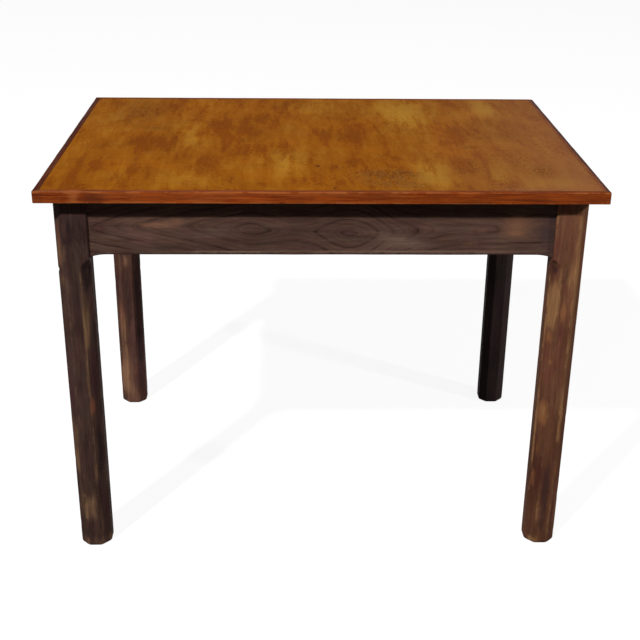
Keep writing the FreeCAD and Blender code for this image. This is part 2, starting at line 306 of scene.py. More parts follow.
class Net:
    """A node tree being wired, with short calls for the nodes that the finishes share."""

    def __init__(self, tree: bpy.types.NodeTree) -> None:
        """Keeps the tree that the calls add nodes to."""
        self.tree = tree

    def feed(self, socket: Socket, value: object) -> None:
        """Links a socket to an input, or sets the input to a constant.

        Args:
            socket: the input.
            value: a socket to link to it, or a constant.
        """
        if isinstance(value, Socket):
            self.tree.links.new(value, socket)
        else:
            socket.default_value = value

    def node(self, kind: str, feeds: Feeds | None = None, **settings: object) -> bpy.types.Node:
        """Adds one node.

        Args:
            kind: the node's type without its ShaderNode prefix.
            feeds: what goes into its inputs, by name or number.
            settings: the node's own properties.

        Returns:
            The new node.
        """
        made = self.tree.nodes.new("ShaderNode" + kind)
        for label, value in settings.items():
            setattr(made, label, value)
        for label, value in (feeds or {}).items():
            self.feed(made.inputs[label], value)
        return made

    def maths(self, operation: str, *values: object, clamp: bool = False) -> Socket:
        """One step of arithmetic on numbers."""
        return self.node("Math", dict(enumerate(values)), operation=operation, use_clamp=clamp).outputs[0]

    def times(self, first: object, *others: object) -> Socket:
        """The product of all the numbers.

        Args:
            first: the first number.
            others: the numbers that it is multiplied by.

        Returns:
            The product.
        """
        for other in others:
            first = self.maths("MULTIPLY", first, other)
        return first

    def times_plus(self, first: object, second: object, third: object) -> Socket:
        """The product of two numbers with a third one added."""
        return self.maths("MULTIPLY_ADD", first, second, third)

    def vector(self, operation: str, first: object, second: object) -> Socket:
        """One step of arithmetic on two vectors."""
        return self.node("VectorMath", {0: first, 1: second}, operation=operation).outputs[0]

    def lit(self, colour: object, light: object) -> Socket:
        """A colour, or a vector, made stronger or weaker by a number."""
        return self.node("VectorMath", {0: colour, 3: light}, operation="SCALE").outputs[0]

    def distance(self, first: object, second: object, weights: Triple) -> Socket:
        """The distance between two points, each axis taken by its weight."""
        apart = self.vector("MULTIPLY", self.vector("SUBTRACT", first, second), weights)
        return self.node("VectorMath", {0: apart}, operation="LENGTH").outputs["Value"]

    def parts(self, vector: object) -> bpy.types.NodeOutputs:
        """The three numbers of a vector, by place or by axis."""
        return self.node("SeparateXYZ", {0: vector}).outputs

    def joined(self, *parts: object) -> Socket:
        """A vector of three numbers."""
        return self.node("CombineXYZ", dict(enumerate(parts))).outputs[0]

    def mix(self, share: object, first: object, second: object) -> Socket:
        """A colour between two colours."""
        return self.node("Mix", {0: share, 6: first, 7: second}, data_type="RGBA").outputs[2]

    def coats(self, colour: object, *coats: tuple[object, object, float]) -> Socket:
        """Lays coats of colour over a colour.

        Args:
            colour: the colour underneath.
            coats: for each coat its colour, where it lies, and how strongly it covers there.

        Returns:
            The colour with all the coats on it.
        """
        for over, place, strength in coats:
            colour = self.mix(self.times(place, strength), colour, over)
        return colour

    def span(self, value: object, low: float, high: float, start: float = 0.0, end: float = 1.0) -> Socket:
        """A number eased from start, where value is low, to end, where it is high."""
        feeds = {0: value, 1: low, 2: high, 3: start, 4: end}
        return self.node("MapRange", feeds, interpolation_type="SMOOTHSTEP").outputs[0]

    def scaled(self, vector: object, scale: Triple, seed: object = None) -> Socket:
        """Coordinates shifted by a seed and stretched by a scale for each axis.

        Args:
            vector: the coordinates.
            scale: how far each axis is stretched.
            seed: a number that sets how far they are shifted, or None for no shift.

        Returns:
            The new coordinates.
        """
        if seed is not None:
            shift = self.joined(self.times(seed, 0.731), seed, self.times(seed, 1.37))
            vector = self.vector("ADD", vector, shift)
        return self.vector("MULTIPLY", vector, scale)

    def noise(self, vector: object, detail: float = 2.0, rough: float = 0.5,
              warp: float = 0.0) -> bpy.types.Node:
        """A noise texture at a scale of 1 on coordinates that are already stretched."""
        feeds = {"Vector": vector, "Scale": 1.0, "Detail": detail, "Roughness": rough, "Distortion": warp}
        return self.node("TexNoise", feeds)

    def texture(self, vector: object, scale: Triple, seed: object, detail: float = 2.0, rough: float = 0.5,
                warp: float = 0.0) -> Socket:
        """The number that a noise gives on coordinates shifted by a seed and stretched by a scale."""
        return self.noise(self.scaled(vector, scale, seed), detail, rough, warp).outputs[0]

    def attribute(self, label: str) -> Socket:
        """A value that the piece's mesh holds at its points, or 0 where it holds none."""
        return self.node("Attribute", attribute_name=label, attribute_type="GEOMETRY").outputs["Fac"]

    def place(self, group: "Group", feeds: Feeds) -> Sockets:
        """Places a shared group with this finish's values and gives its outputs by name.

        Args:
            group: the shared group.
            feeds: what goes into its inputs, by name.

        Returns:
            The group's outputs by name.
        """
        made = self.node("Group", node_tree=group.tree)
        for label, value in feeds.items():
            self.feed(made.inputs[label], value)
        return {socket.name: socket for socket in made.outputs}


class Group(Net):
    """A shader node group with named inputs and outputs, built once and placed in many materials.

    Every group takes a vector in log space, X along the grain and Y and Z across it, and a seed.
    """

    def __init__(self, name: str, takes: Feeds, gives: tuple[str, ...]) -> None:
        """Makes the empty group.

        Args:
            name: the group's name.
            takes: its further inputs with their starting values; a tuple makes a vector input.
            gives: its outputs, each a number.
        """
        super().__init__(bpy.data.node_groups.new(name, "ShaderNodeTree"))
        for label, start in {"Vector": (0.0, 0.0, 0.0), "Seed": 0.0, **takes}.items():
            kind = "NodeSocketVector" if isinstance(start, tuple) else "NodeSocketFloat"
            self.tree.interface.new_socket(label, in_out="INPUT", socket_type=kind).default_value = start
        for label in gives:
            self.tree.interface.new_socket(label, in_out="OUTPUT", socket_type="NodeSocketFloat")
        self.given = self.tree.nodes.new("NodeGroupInput").outputs
        self.result = self.tree.nodes.new("NodeGroupOutput").inputs

    def streaks(self, along: float, across: float, detail: float = 2.0, rough: float = 0.5,
                warp: float = 0.0) -> Socket:
        """A noise on the group's vector, so many times finer along and across the grain."""
        scale = (along, across, across)
        return self.texture(self.given["Vector"], scale, self.given["Seed"], detail, rough, warp)

    def drift(self, along: float, across: float) -> Socket:
        """A noise as streaks gives it, but as a vector of three numbers."""
        place = self.scaled(self.given["Vector"], (along, across, across), self.given["Seed"])
        return self.noise(place).outputs["Color"]

    def give(self, **results: Socket) -> "Group":
        """Wires the outputs and hands the finished group back.

        Args:
            results: the socket for each output.

        Returns:
            The group.
        """
        for label, socket in results.items():
            self.feed(self.result[label], socket)
        return self


def log_grain() -> Group:
    """Wood as it is inside a log, so that every face and end shows the figure that its cut gives.

    The growth rings are shells about the pith. Their number at a point is its distance from the
    pith plus a slow rise along the grain, over the width of a ring. The rise is
    slope * sqrt(x^2 + bend^2) + lean * x from the place where the shells close, which gives the
    pointed and oval figures of a flat-sawn board. A board may add a rise of its own and move the
    pith sideways along its length. A knot adds a bump of exp(-(distance/size)^2).

    Returns:
        The group.
    """
    takes = {
        "Pith": (0.0, 0.0, 0.0), "Ring Width": 0.005, "Slope": 0.04, "Lean": 0.0, "Warp": 0.01,
        "Knot": (0.0, 0.0, 0.0), "Knot Size": 0.001, "Late From": 0.45, "Rise": 0.0, "Ridge": 0.0,
    }
    group = Group("log_grain", takes, ("Rings", "Tone", "Fibre", "Pores", "Knot", "Height"))
    given = group.given
    noise_middle = (0.58, 0.58, 0.58)
    bend_squared = 0.0009
    knot_weights = (0.9, 0.0, 1.0)
    sway = group.vector("SUBTRACT", group.drift(2.2, 9.0), noise_middle)
    sway = group.vector("ADD", sway, group.lit(group.drift(26.0, 70.0), 0.16))
    bent = group.vector("ADD", given["Vector"], group.lit(sway, given["Warp"]))
    along, across, side = group.parts(group.vector("SUBTRACT", bent, given["Pith"]))
    side = group.maths("SUBTRACT", side, given["Ridge"])
    radius = group.maths("SQRT", group.maths("ADD", group.times(across, across), group.times(side, side)))
    radius = group.maths("ADD", radius, given["Rise"])
    bend = group.maths("SQRT", group.maths("ADD", group.maths("POWER", along, 2.0), bend_squared))
    rise = group.times_plus(bend, given["Slope"], group.times(along, given["Lean"]))
    reach = group.distance(given["Vector"], given["Knot"], knot_weights)
    share = group.maths("DIVIDE", reach, given["Knot Size"])
    knot = group.maths("EXPONENT", group.times(share, share, -1.0))
    number = group.maths("DIVIDE", group.maths("ADD", radius, rise), given["Ring Width"])
    number = group.times_plus(knot, 0.8, number)
    part = group.maths("FRACT", number)
    tone = group.streaks(3.0, 22.0, 3.0, 0.55)
    late = group.times(group.span(part, given["Late From"], 0.92), group.span(part, 0.93, 1.0, 1.0, 0.0))
    fading = group.parts(group.drift(8.0, 22.0))[1]
    late = group.times(late, group.span(fading, 0.36, 0.60, 0.4, 1.0))
    between = group.maths("FRACT", group.times_plus(tone, 1.5, group.times(number, 3.0)))
    late = group.maths("MAXIMUM", late, group.span(between, 0.5, 0.95, 0.0, 0.35))
    fibre = group.streaks(9.0, 420.0, 3.0, 0.6)
    dash = group.streaks(60.0, 1500.0, 1.0)
    pores = group.times(group.span(dash, 0.58, 0.70), group.span(late, 0.0, 1.0, 1.0, 0.4))
    height = group.times_plus(fibre, 0.6, group.times(late, 0.25))
    height = group.times_plus(pores, -0.8, height)
    return group.give(Rings=late, Tone=tone, Fibre=fibre, Pores=pores, Knot=knot, Height=height)


def rubbed_through() -> Group:
    """Where a finish is rubbed away: on arrises and patches, broken up into streaks along the grain.

    Returns:
        The group.
    """
    group = Group("rubbed_through", {"Arris": 0.0, "Patch": 0.0, "Amount": 0.5}, ("Bare", "Faint"))
    given = group.given
    broad = group.times(group.streaks(7.0, 16.0), 0.9)
    uneven = group.maths("ADD", group.streaks(14.0, 110.0, 4.0, 0.62), broad)
    rest = group.streaks(24.0, 40.0, 3.0, 0.65, 0.5)
    along = group.times(given["Arris"], group.span(rest, 0.44, 0.58, 0.12, 1.0))
    push = group.times_plus(along, given["Amount"], given["Patch"])
    level = group.times_plus(push, 0.85, uneven)
    return group.give(Bare=group.span(level, 1.25, 1.75), Faint=group.span(level, 0.95, 1.65))


def handling() -> Group:
    """Marks of use: slow clouds of grime, fine specks and sparse scratches in three directions.

    Returns:
        The group.
    """
    group = Group("handling", {"Scratches": 0.5}, ("Cloud", "Specks", "Scratch"))
    given = group.given
    cloud = group.streaks(9.0, 9.0, 4.0, 0.6, 0.4)
    speck = group.streaks(520.0, 520.0, 2.0, 0.7)
    marks: object = 0.0
    for number, angle in enumerate((0.35, 1.25, 2.3)):
        feeds = {"Vector": given["Vector"], "Rotation": (0.3 + 0.4 * angle, 0.25 * angle, angle)}
        turn = group.node("VectorRotate", feeds, rotation_type="EULER_XYZ").outputs[0]
        line = group.texture(turn, (5.0, 900.0, 40.0), given["Seed"], 0.0)
        here = group.texture(turn, (16.0, 28.0, 16.0), given["Seed"], 1.0)
        mark = group.times(group.span(line, 0.74, 0.80), group.span(here, 0.54 + 0.02 * number, 0.62))
        marks = group.maths("MAXIMUM", marks, mark)
    return group.give(
        Cloud=group.span(cloud, 0.3, 0.7), Specks=group.span(speck, 0.62, 0.78),
        Scratch=group.times(marks, given["Scratches"]))


@dataclass(frozen=True)
class Groups:
    """The groups that the finishes share."""

    grain: Group = field(default_factory=log_grain)
    rubbed: Group = field(default_factory=rubbed_through)
    marks: Group = field(default_factory=handling)


@dataclass(frozen=True)
class Ground:
    """What a finish is laid on: a place in log space, and the wood and the marks of use there."""

    vector: Socket
    wood: Sockets
    marks: Sockets


@dataclass(frozen=True)
class LogCut:
    """How a piece was sawn from its log, in log space: X along the grain, Y and Z across it."""

    along: Along
    seed: float
    pith: Triple
    ring_width: float = 0.005
    slope: float = 0.04
    lean: float = 0.0
    warp: float = 0.012
    knot: Triple = (0.0, 0.0, 0.0)
    knot_size: float = 0.0001
    late_from: float = 0.45

    def ground(self, net: Net, groups: Groups, scratches: float) -> Ground:
        """Reads object coordinates in the order of log space and places the groups on them.

        Args:
            net: the finish's net.
            groups: the shared groups.
            scratches: how strongly scratches show.

        Returns:
            The ground that the finish is laid on.
        """
        parts = net.parts(net.node("TexCoord").outputs["Object"])
        vector = net.joined(*(parts[axis] for axis in self.along.value))
        wood = net.place(groups.grain, {
            "Vector": vector, "Seed": self.seed, "Pith": self.pith, "Ring Width": self.ring_width,
            "Slope": self.slope, "Lean": self.lean, "Warp": self.warp, "Knot": self.knot,
            "Knot Size": self.knot_size, "Late From": self.late_from,
            "Rise": net.attribute("rise"), "Ridge": net.attribute("ridge"),
        })
        marks = net.place(groups.marks, {"Vector": vector, "Seed": self.seed + 3.0, "Scratches": scratches})
        return Ground(vector, wood, marks)

    def rubbed(self, net: Net, groups: Groups, vector: Socket, amount: float) -> Sockets:
        """Places the group that says where the finish is rubbed away.

        Args:
            net: the finish's net.
            groups: the shared groups.
            vector: the place in log space.
            amount: how readily the arrises rub through.

        Returns:
            The group's outputs by name.
        """
        return net.place(groups.rubbed, {
            "Vector": vector, "Seed": self.seed, "Arris": net.attribute("arris"),
            "Patch": net.attribute("worn"), "Amount": amount,
        })

    def texture(self, net: Net, vector: Socket, scale: Triple, offset: float, detail: float, rough: float,
                warp: float = 0.0) -> Socket:
        """A noise of this piece's own, its seed set off from the log's."""
        return net.texture(vector, scale, self.seed + offset, detail, rough, warp)


@dataclass(frozen=True)
class Finish:
    """A finish: what all of them share is one Principled shader and one bump."""

    name: str

    def material(self, groups: Groups) -> bpy.types.Material:
        """Builds the finish's material.

        Args:
            groups: the shared groups.

        Returns:
            The material.
        """
        made = bpy.data.materials.new(self.name)
        made.use_nodes = True
        self.wire(Net(made.node_tree), made.node_tree.nodes["Principled BSDF"].inputs, groups)
        return made

    def wire(self, net: Net, shader: bpy.types.NodeInputs, groups: Groups) -> None:
        """Wires the finish's own nodes into the shader."""
        raise NotImplementedError

    @staticmethod
    def connect(net: Net, shader: bpy.types.NodeInputs, colour: Socket, rough: Socket, height: Socket,
                depth: float) -> None:
        """Wires the shader's main inputs.

        Args:
            net: the finish's net.
            shader: the shader's inputs.
            colour: the surface's colour.
            rough: its roughness.
            height: its relief, from 0 to 1.
            depth: the metres that a height of 1 stands for.
        """
        net.feed(shader["Base Color"], colour)
        net.feed(shader["Roughness"], rough)
        bump = net.node("Bump", {"Height": height, "Distance": depth, "Strength": 1.0})
        net.feed(shader["Normal"], bump.outputs[0])


@dataclass(frozen=True)
class StainedWood(Finish):
    """Dark stain on open-grained wood, rubbed through to tan wood on arrises and in patches.

    The mesh's attributes say where: arris, worn, amber (orange patches), plum (purple-brown ones)
    and dusk (dark ones). A few plum and dusk patches are painted shade, laid where shade falls beside
    a leg or under an apron. A ragged noise breaks up every patch's border into streaks.
    """

    cut: LogCut
    early: Colour = paint(84, 60, 52)
    late: Colour = paint(40, 28, 27)
    bare: Colour = paint(134, 98, 64)
    amber: Colour = paint(126, 74, 44)
    dusk: Colour = paint(34, 24, 24)
    plum: Colour = paint(78, 44, 46)
    olive: Colour = paint(72, 60, 44)
    ring_share: float = 0.6
    rub: float = 0.30
    mottle: float = 0.6
    relief: float = 0.00016

    @staticmethod
    def blotch(net: Net, label: str, ragged: Socket, most: float) -> Socket:
        """How strongly a patch shows, with its border broken up by the ragged noise."""
        return net.span(net.times_plus(ragged, 1.1, net.attribute(label)), 0.80, 1.30, 0.0, most)

    def varied(self, net: Net, value: Socket, low: float, high: float, darker: float,
               lighter: float) -> Socket:
        """A factor for the light, from darker at low to lighter at high, by the mottle."""
        return net.span(value, low, high, 1.0 - darker * self.mottle, 1.0 + lighter * self.mottle)

    def stain(self, net: Net, ground: Ground) -> Socket:
        """The stain's own colour: rings, purple and olive blots, and streaks of light and dark.

        Args:
            net: the finish's net.
            ground: the wood and the marks of use that it is laid on.

        Returns:
            The colour.
        """
        wood, vector, cut = ground.wood, ground.vector, self.cut
        ragged = cut.texture(net, vector, (26.0, 110.0, 110.0), 8.0, 4.0, 0.65)
        colour = net.coats(self.early, (self.late, wood["Rings"], self.ring_share))
        blots = net.noise(net.scaled(vector, (17.0, 46.0, 46.0), cut.seed + 6.0), 4.0, 0.65, 0.4)
        red, green, _ = net.parts(blots.outputs["Color"])
        purple = net.span(red, 0.50, 0.64, 0.0, 0.8 * self.mottle)
        purple = net.maths("MAXIMUM", purple, self.blotch(net, "plum", ragged, 0.9))
        colour = net.mix(purple, colour, self.plum)
        colour = net.mix(net.span(green, 0.50, 0.64, 0.0, 0.7 * self.mottle), colour, self.olive)
        streak = cut.texture(net, vector, (9.0, 130.0, 130.0), 2.0, 4.0, 0.65)
        light = net.times(
            self.varied(net, wood["Tone"], 0.36, 0.64, 0.26, 0.28),
            net.span(wood["Fibre"], 0.3, 0.7, 0.92, 1.08),
            self.varied(net, streak, 0.36, 0.64, 0.22, 0.24),
            self.varied(net, ground.marks["Cloud"], 0.0, 1.0, 0.24, 0.12))
        colour = net.mix(self.blotch(net, "amber", ragged, 0.9), net.lit(colour, light), self.amber)
        return net.mix(self.blotch(net, "dusk", ragged, 0.85), colour, self.dusk)

    def wire(self, net: Net, shader: bpy.types.NodeInputs, groups: Groups) -> None:
        """Lays stain, pores, wear and grime over each other and wires the shader.

        Args:
            net: the finish's net.
            shader: the shader's inputs.
            groups: the shared groups.
        """
        ground = self.cut.ground(net, groups, 0.3)
        wood, scratch = ground.wood, ground.marks["Scratch"]
        rubbed = self.cut.rubbed(net, groups, ground.vector, self.rub)
        tan = net.mix(net.span(wood["Fibre"], 0.3, 0.7, 0.0, 0.5), self.bare, self.early)
        colour = net.coats(
            self.stain(net, ground), (tan, rubbed["Faint"], 0.45), (tan, rubbed["Bare"], 0.85),
            (self.dusk, wood["Pores"], 0.30), (self.amber, wood["Knot"], 0.75), (self.bare, scratch, 0.35))
        rough = net.times_plus(rubbed["Bare"], 0.08, net.span(wood["Fibre"], 0.2, 0.8, 0.58, 0.72))
        self.connect(net, shader, colour, rough, net.times_plus(scratch, -0.6, wood["Height"]), self.relief)
        shader["Specular IOR Level"].default_value = 0.015


@dataclass(frozen=True)
class LippingWood(Finish):
    """Reddish-brown straight-grained wood under a thin satin varnish, pale along its rubbed arrises."""

    cut: LogCut
    early: Colour = paint(130, 57, 14)
    late: Colour = paint(84, 30, 8)
    bare: Colour = paint(152, 86, 42)
    shade: Colour = paint(56, 25, 18)
    joint: Colour = paint(52, 22, 8)
    rub: float = 0.75
    relief: float = 0.00015

    def wire(self, net: Net, shader: bpy.types.NodeInputs, groups: Groups) -> None:
        """Lays streaks, rubbed arrises and dark joints over each other and wires the shader.

        Args:
            net: the finish's net.
            shader: the shader's inputs.
            groups: the shared groups.
        """
        ground = self.cut.ground(net, groups, 0.6)
        wood, scratch = ground.wood, ground.marks["Scratch"]
        rubbed = self.cut.rubbed(net, groups, ground.vector, self.rub)
        streak = self.cut.texture(net, ground.vector, (16.0, 340.0, 340.0), 1.0, 3.0, 0.6)
        streaky = net.span(streak, 0.35, 0.7, 0.0, 0.75)
        share = net.maths("ADD", net.times(wood["Rings"], 0.35), streaky, clamp=True)
        light = net.times(
            net.span(wood["Tone"], 0.25, 0.75, 0.82, 1.16),
            net.span(ground.marks["Cloud"], 0.0, 1.0, 0.88, 1.08))
        colour = net.coats(
            net.lit(net.mix(share, self.early, self.late), light), (self.shade, net.attribute("dusk"), 0.9),
            (self.bare, rubbed["Faint"], 0.6), (self.joint, wood["Pores"], 0.4),
            (self.joint, net.attribute("joint"), 0.8), (self.bare, scratch, 0.4))
        rough = net.span(streak, 0.2, 0.8, 0.36, 0.52)
        self.connect(net, shader, colour, rough, net.times_plus(scratch, -0.5, wood["Height"]), self.relief)
        shader["Specular IOR Level"].default_value = 0.05


@dataclass(frozen=True)
class VeneerFace(Finish):
    """Golden-brown figured veneer: short pores along the width, soft bars of light and dark across it.

    The mesh's attributes place the largest blotches: gold, amber, smudge (grey-green grime) and joint
    (the seam with the lipping). One more attribute places a painted sheen, which lays the right end
    and a strip at its front paler and greyer, standing in for a reflection. The small dark mark is a
    disc, half as wide as it is deep.
    """

    cut: LogCut
    mark_place: Triple
    mark_radius: float
    gold: Colour = paint(163, 114, 30)
    bright: Colour = paint(148, 91, 12)
    mid: Colour = paint(139, 79, 4)
    deep: Colour = paint(123, 63, 4)
    # The colour of the painted sheen: a paler, greyer tone laid in where a reflection would show.
    dull: Colour = paint(124, 84, 58)
    grime: Colour = paint(120, 80, 34)
    speck: Colour = paint(82, 34, 10)
    joint: Colour = paint(80, 38, 12)
    relief: float = 0.00009

    def wire(self, net: Net, shader: bpy.types.NodeInputs, groups: Groups) -> None:
        """Lays bars, blotches, a painted sheen, pores, grime and the seam over each other and wires the
        shader.

        Args:
            net: the finish's net.
            shader: the shader's inputs.
            groups: the shared groups.
        """
        ground = self.cut.ground(net, groups, 0.8)
        vector, wood, scratch = ground.vector, ground.wood, ground.marks["Scratch"]
        gold, smudge = net.attribute("gold"), net.attribute("smudge")
        bars = self.cut.texture(net, vector, (44.0, 7.0, 1.0), 0.0, 3.0, 0.55, 0.3)
        broad = self.cut.texture(net, vector, (13.0, 6.0, 1.0), 5.0, 2.0, 0.5, 0.3)
        ragged = self.cut.texture(net, vector, (120.0, 30.0, 1.0), 9.0, 4.0, 0.7)
        level = net.times_plus(bars, 0.80, net.times(broad, 0.55))
        for value, weight in ((ragged, 0.60), (gold, 0.20), (net.attribute("amber"), -0.20)):
            level = net.times_plus(value, weight, level)
        colour = net.mix(net.span(level, 0.78, 0.96), self.deep, self.mid)
        colour = net.mix(net.span(level, 0.97, 1.17), colour, self.bright)
        colour = net.mix(net.times(gold, net.span(level, 0.88, 1.18)), colour, self.gold)
        light = net.times(
            net.span(wood["Fibre"], 0.25, 0.75, 0.90, 1.10),
            net.span(ground.marks["Cloud"], 0.0, 1.0, 0.92, 1.06))
        dirt = net.times(smudge, net.span(ragged, 0.34, 0.56))
        dot = self.cut.texture(net, vector, (230.0, 160.0, 1.0), 11.0, 2.0, 0.6)
        crowd = net.maths("MAXIMUM", net.span(broad, 0.66, 0.36), smudge)
        dots = net.times(net.span(net.times_plus(smudge, 0.10, dot), 0.58, 0.64), crowd)
        # The first coat is a painted sheen: the right end is laid paler and greyer, standing in for a
        # reflection.
        colour = net.coats(
            net.lit(colour, light), (self.dull, net.attribute("painted_sheen"), 0.60), (self.grime, dirt, 0.75),
            (self.speck, dots, 0.70), (self.deep, wood["Pores"], 0.35), (self.deep, wood["Rings"], 0.12),
            (self.gold, scratch, 0.3))
        colour = net.mix(net.attribute("joint"), colour, self.joint)
        reach = net.distance(vector, self.mark_place, (1.0, 0.5, 0.0))
        mark = net.span(reach, self.mark_radius * 0.6, self.mark_radius, 0.85, 0.0)
        colour = net.mix(mark, colour, self.joint)
        rough = net.times_plus(smudge, 0.12, net.span(level, 0.7, 1.3, 0.50, 0.40))
        rough = net.times_plus(scratch, 0.15, rough)
        self.connect(net, shader, colour, rough, net.times_plus(scratch, -0.5, wood["Height"]), self.relief)
        shader["Specular IOR Level"].default_value = 0.01


@dataclass(frozen=True)
class RawWood(Finish):
    """Wood with no finish: sawn blocks, a panel's core or its backing sheet."""

    cut: LogCut
    early: Colour
    late: Colour
    ring_share: float = 0.7
    relief: float = 0.0003

    def wire(self, net: Net, shader: bpy.types.NodeInputs, groups: Groups) -> None:
        """Lays rings, fibres, pores and handling marks over each other and wires the shader.

        Args:
            net: the finish's net.
            shader: the shader's inputs.
            groups: the shared groups.
        """
        ground = self.cut.ground(net, groups, 0.4)
        wood, marks = ground.wood, ground.marks
        light = net.times(
            net.span(wood["Tone"], 0.25, 0.75, 0.82, 1.14), net.span(wood["Fibre"], 0.25, 0.75, 0.88, 1.1),
            net.span(marks["Cloud"], 0.0, 1.0, 0.8, 1.05))
        colour = net.lit(net.coats(self.early, (self.late, wood["Rings"], self.ring_share)), light)
        colour = net.coats(colour, (self.late, wood["Pores"], 0.4), (self.late, marks["Specks"], 0.2))
        rough = net.span(wood["Fibre"], 0.2, 0.8, 0.68, 0.84)
        self.connect(net, shader, colour, rough, wood["Height"], self.relief)
        shader["Specular IOR Level"].default_value = 0.10


@dataclass(frozen=True)
class DullSteel(Finish):
    """Dulled zinc-plated steel with rust in its hollows."""

    steel: Colour = paint(176, 170, 158)
    tarnish: Colour = paint(112, 102, 88)
    rust: Colour = paint(96, 54, 30)
    relief: float = 0.00006

    def wire(self, net: Net, shader: bpy.types.NodeInputs, groups: Groups) -> None:
        """Lays tarnish and rust on the metal and wires the shader.

        Args:
            net: the finish's net.
            shader: the shader's inputs.
            groups: the shared groups.
        """
        vector = net.node("TexCoord").outputs["Object"]
        place = net.scaled(vector, (12.0, 12.0, 12.0))
        marks = net.place(groups.marks, {"Vector": place, "Seed": 4.0, "Scratches": 0.8})
        spots = net.noise(net.scaled(vector, (900.0, 900.0, 900.0)), 4.0, 0.7).outputs[0]
        rusty = net.span(spots, 0.58, 0.68)
        colour = net.mix(rusty, net.mix(marks["Cloud"], self.steel, self.tarnish), self.rust)
        rough = net.times_plus(rusty, 0.4, net.span(spots, 0.3, 0.7, 0.3, 0.45))
        self.connect(net, shader, colour, rough, spots, self.relief)
        net.feed(shader["Metallic"], net.maths("SUBTRACT", 1.0, rusty))


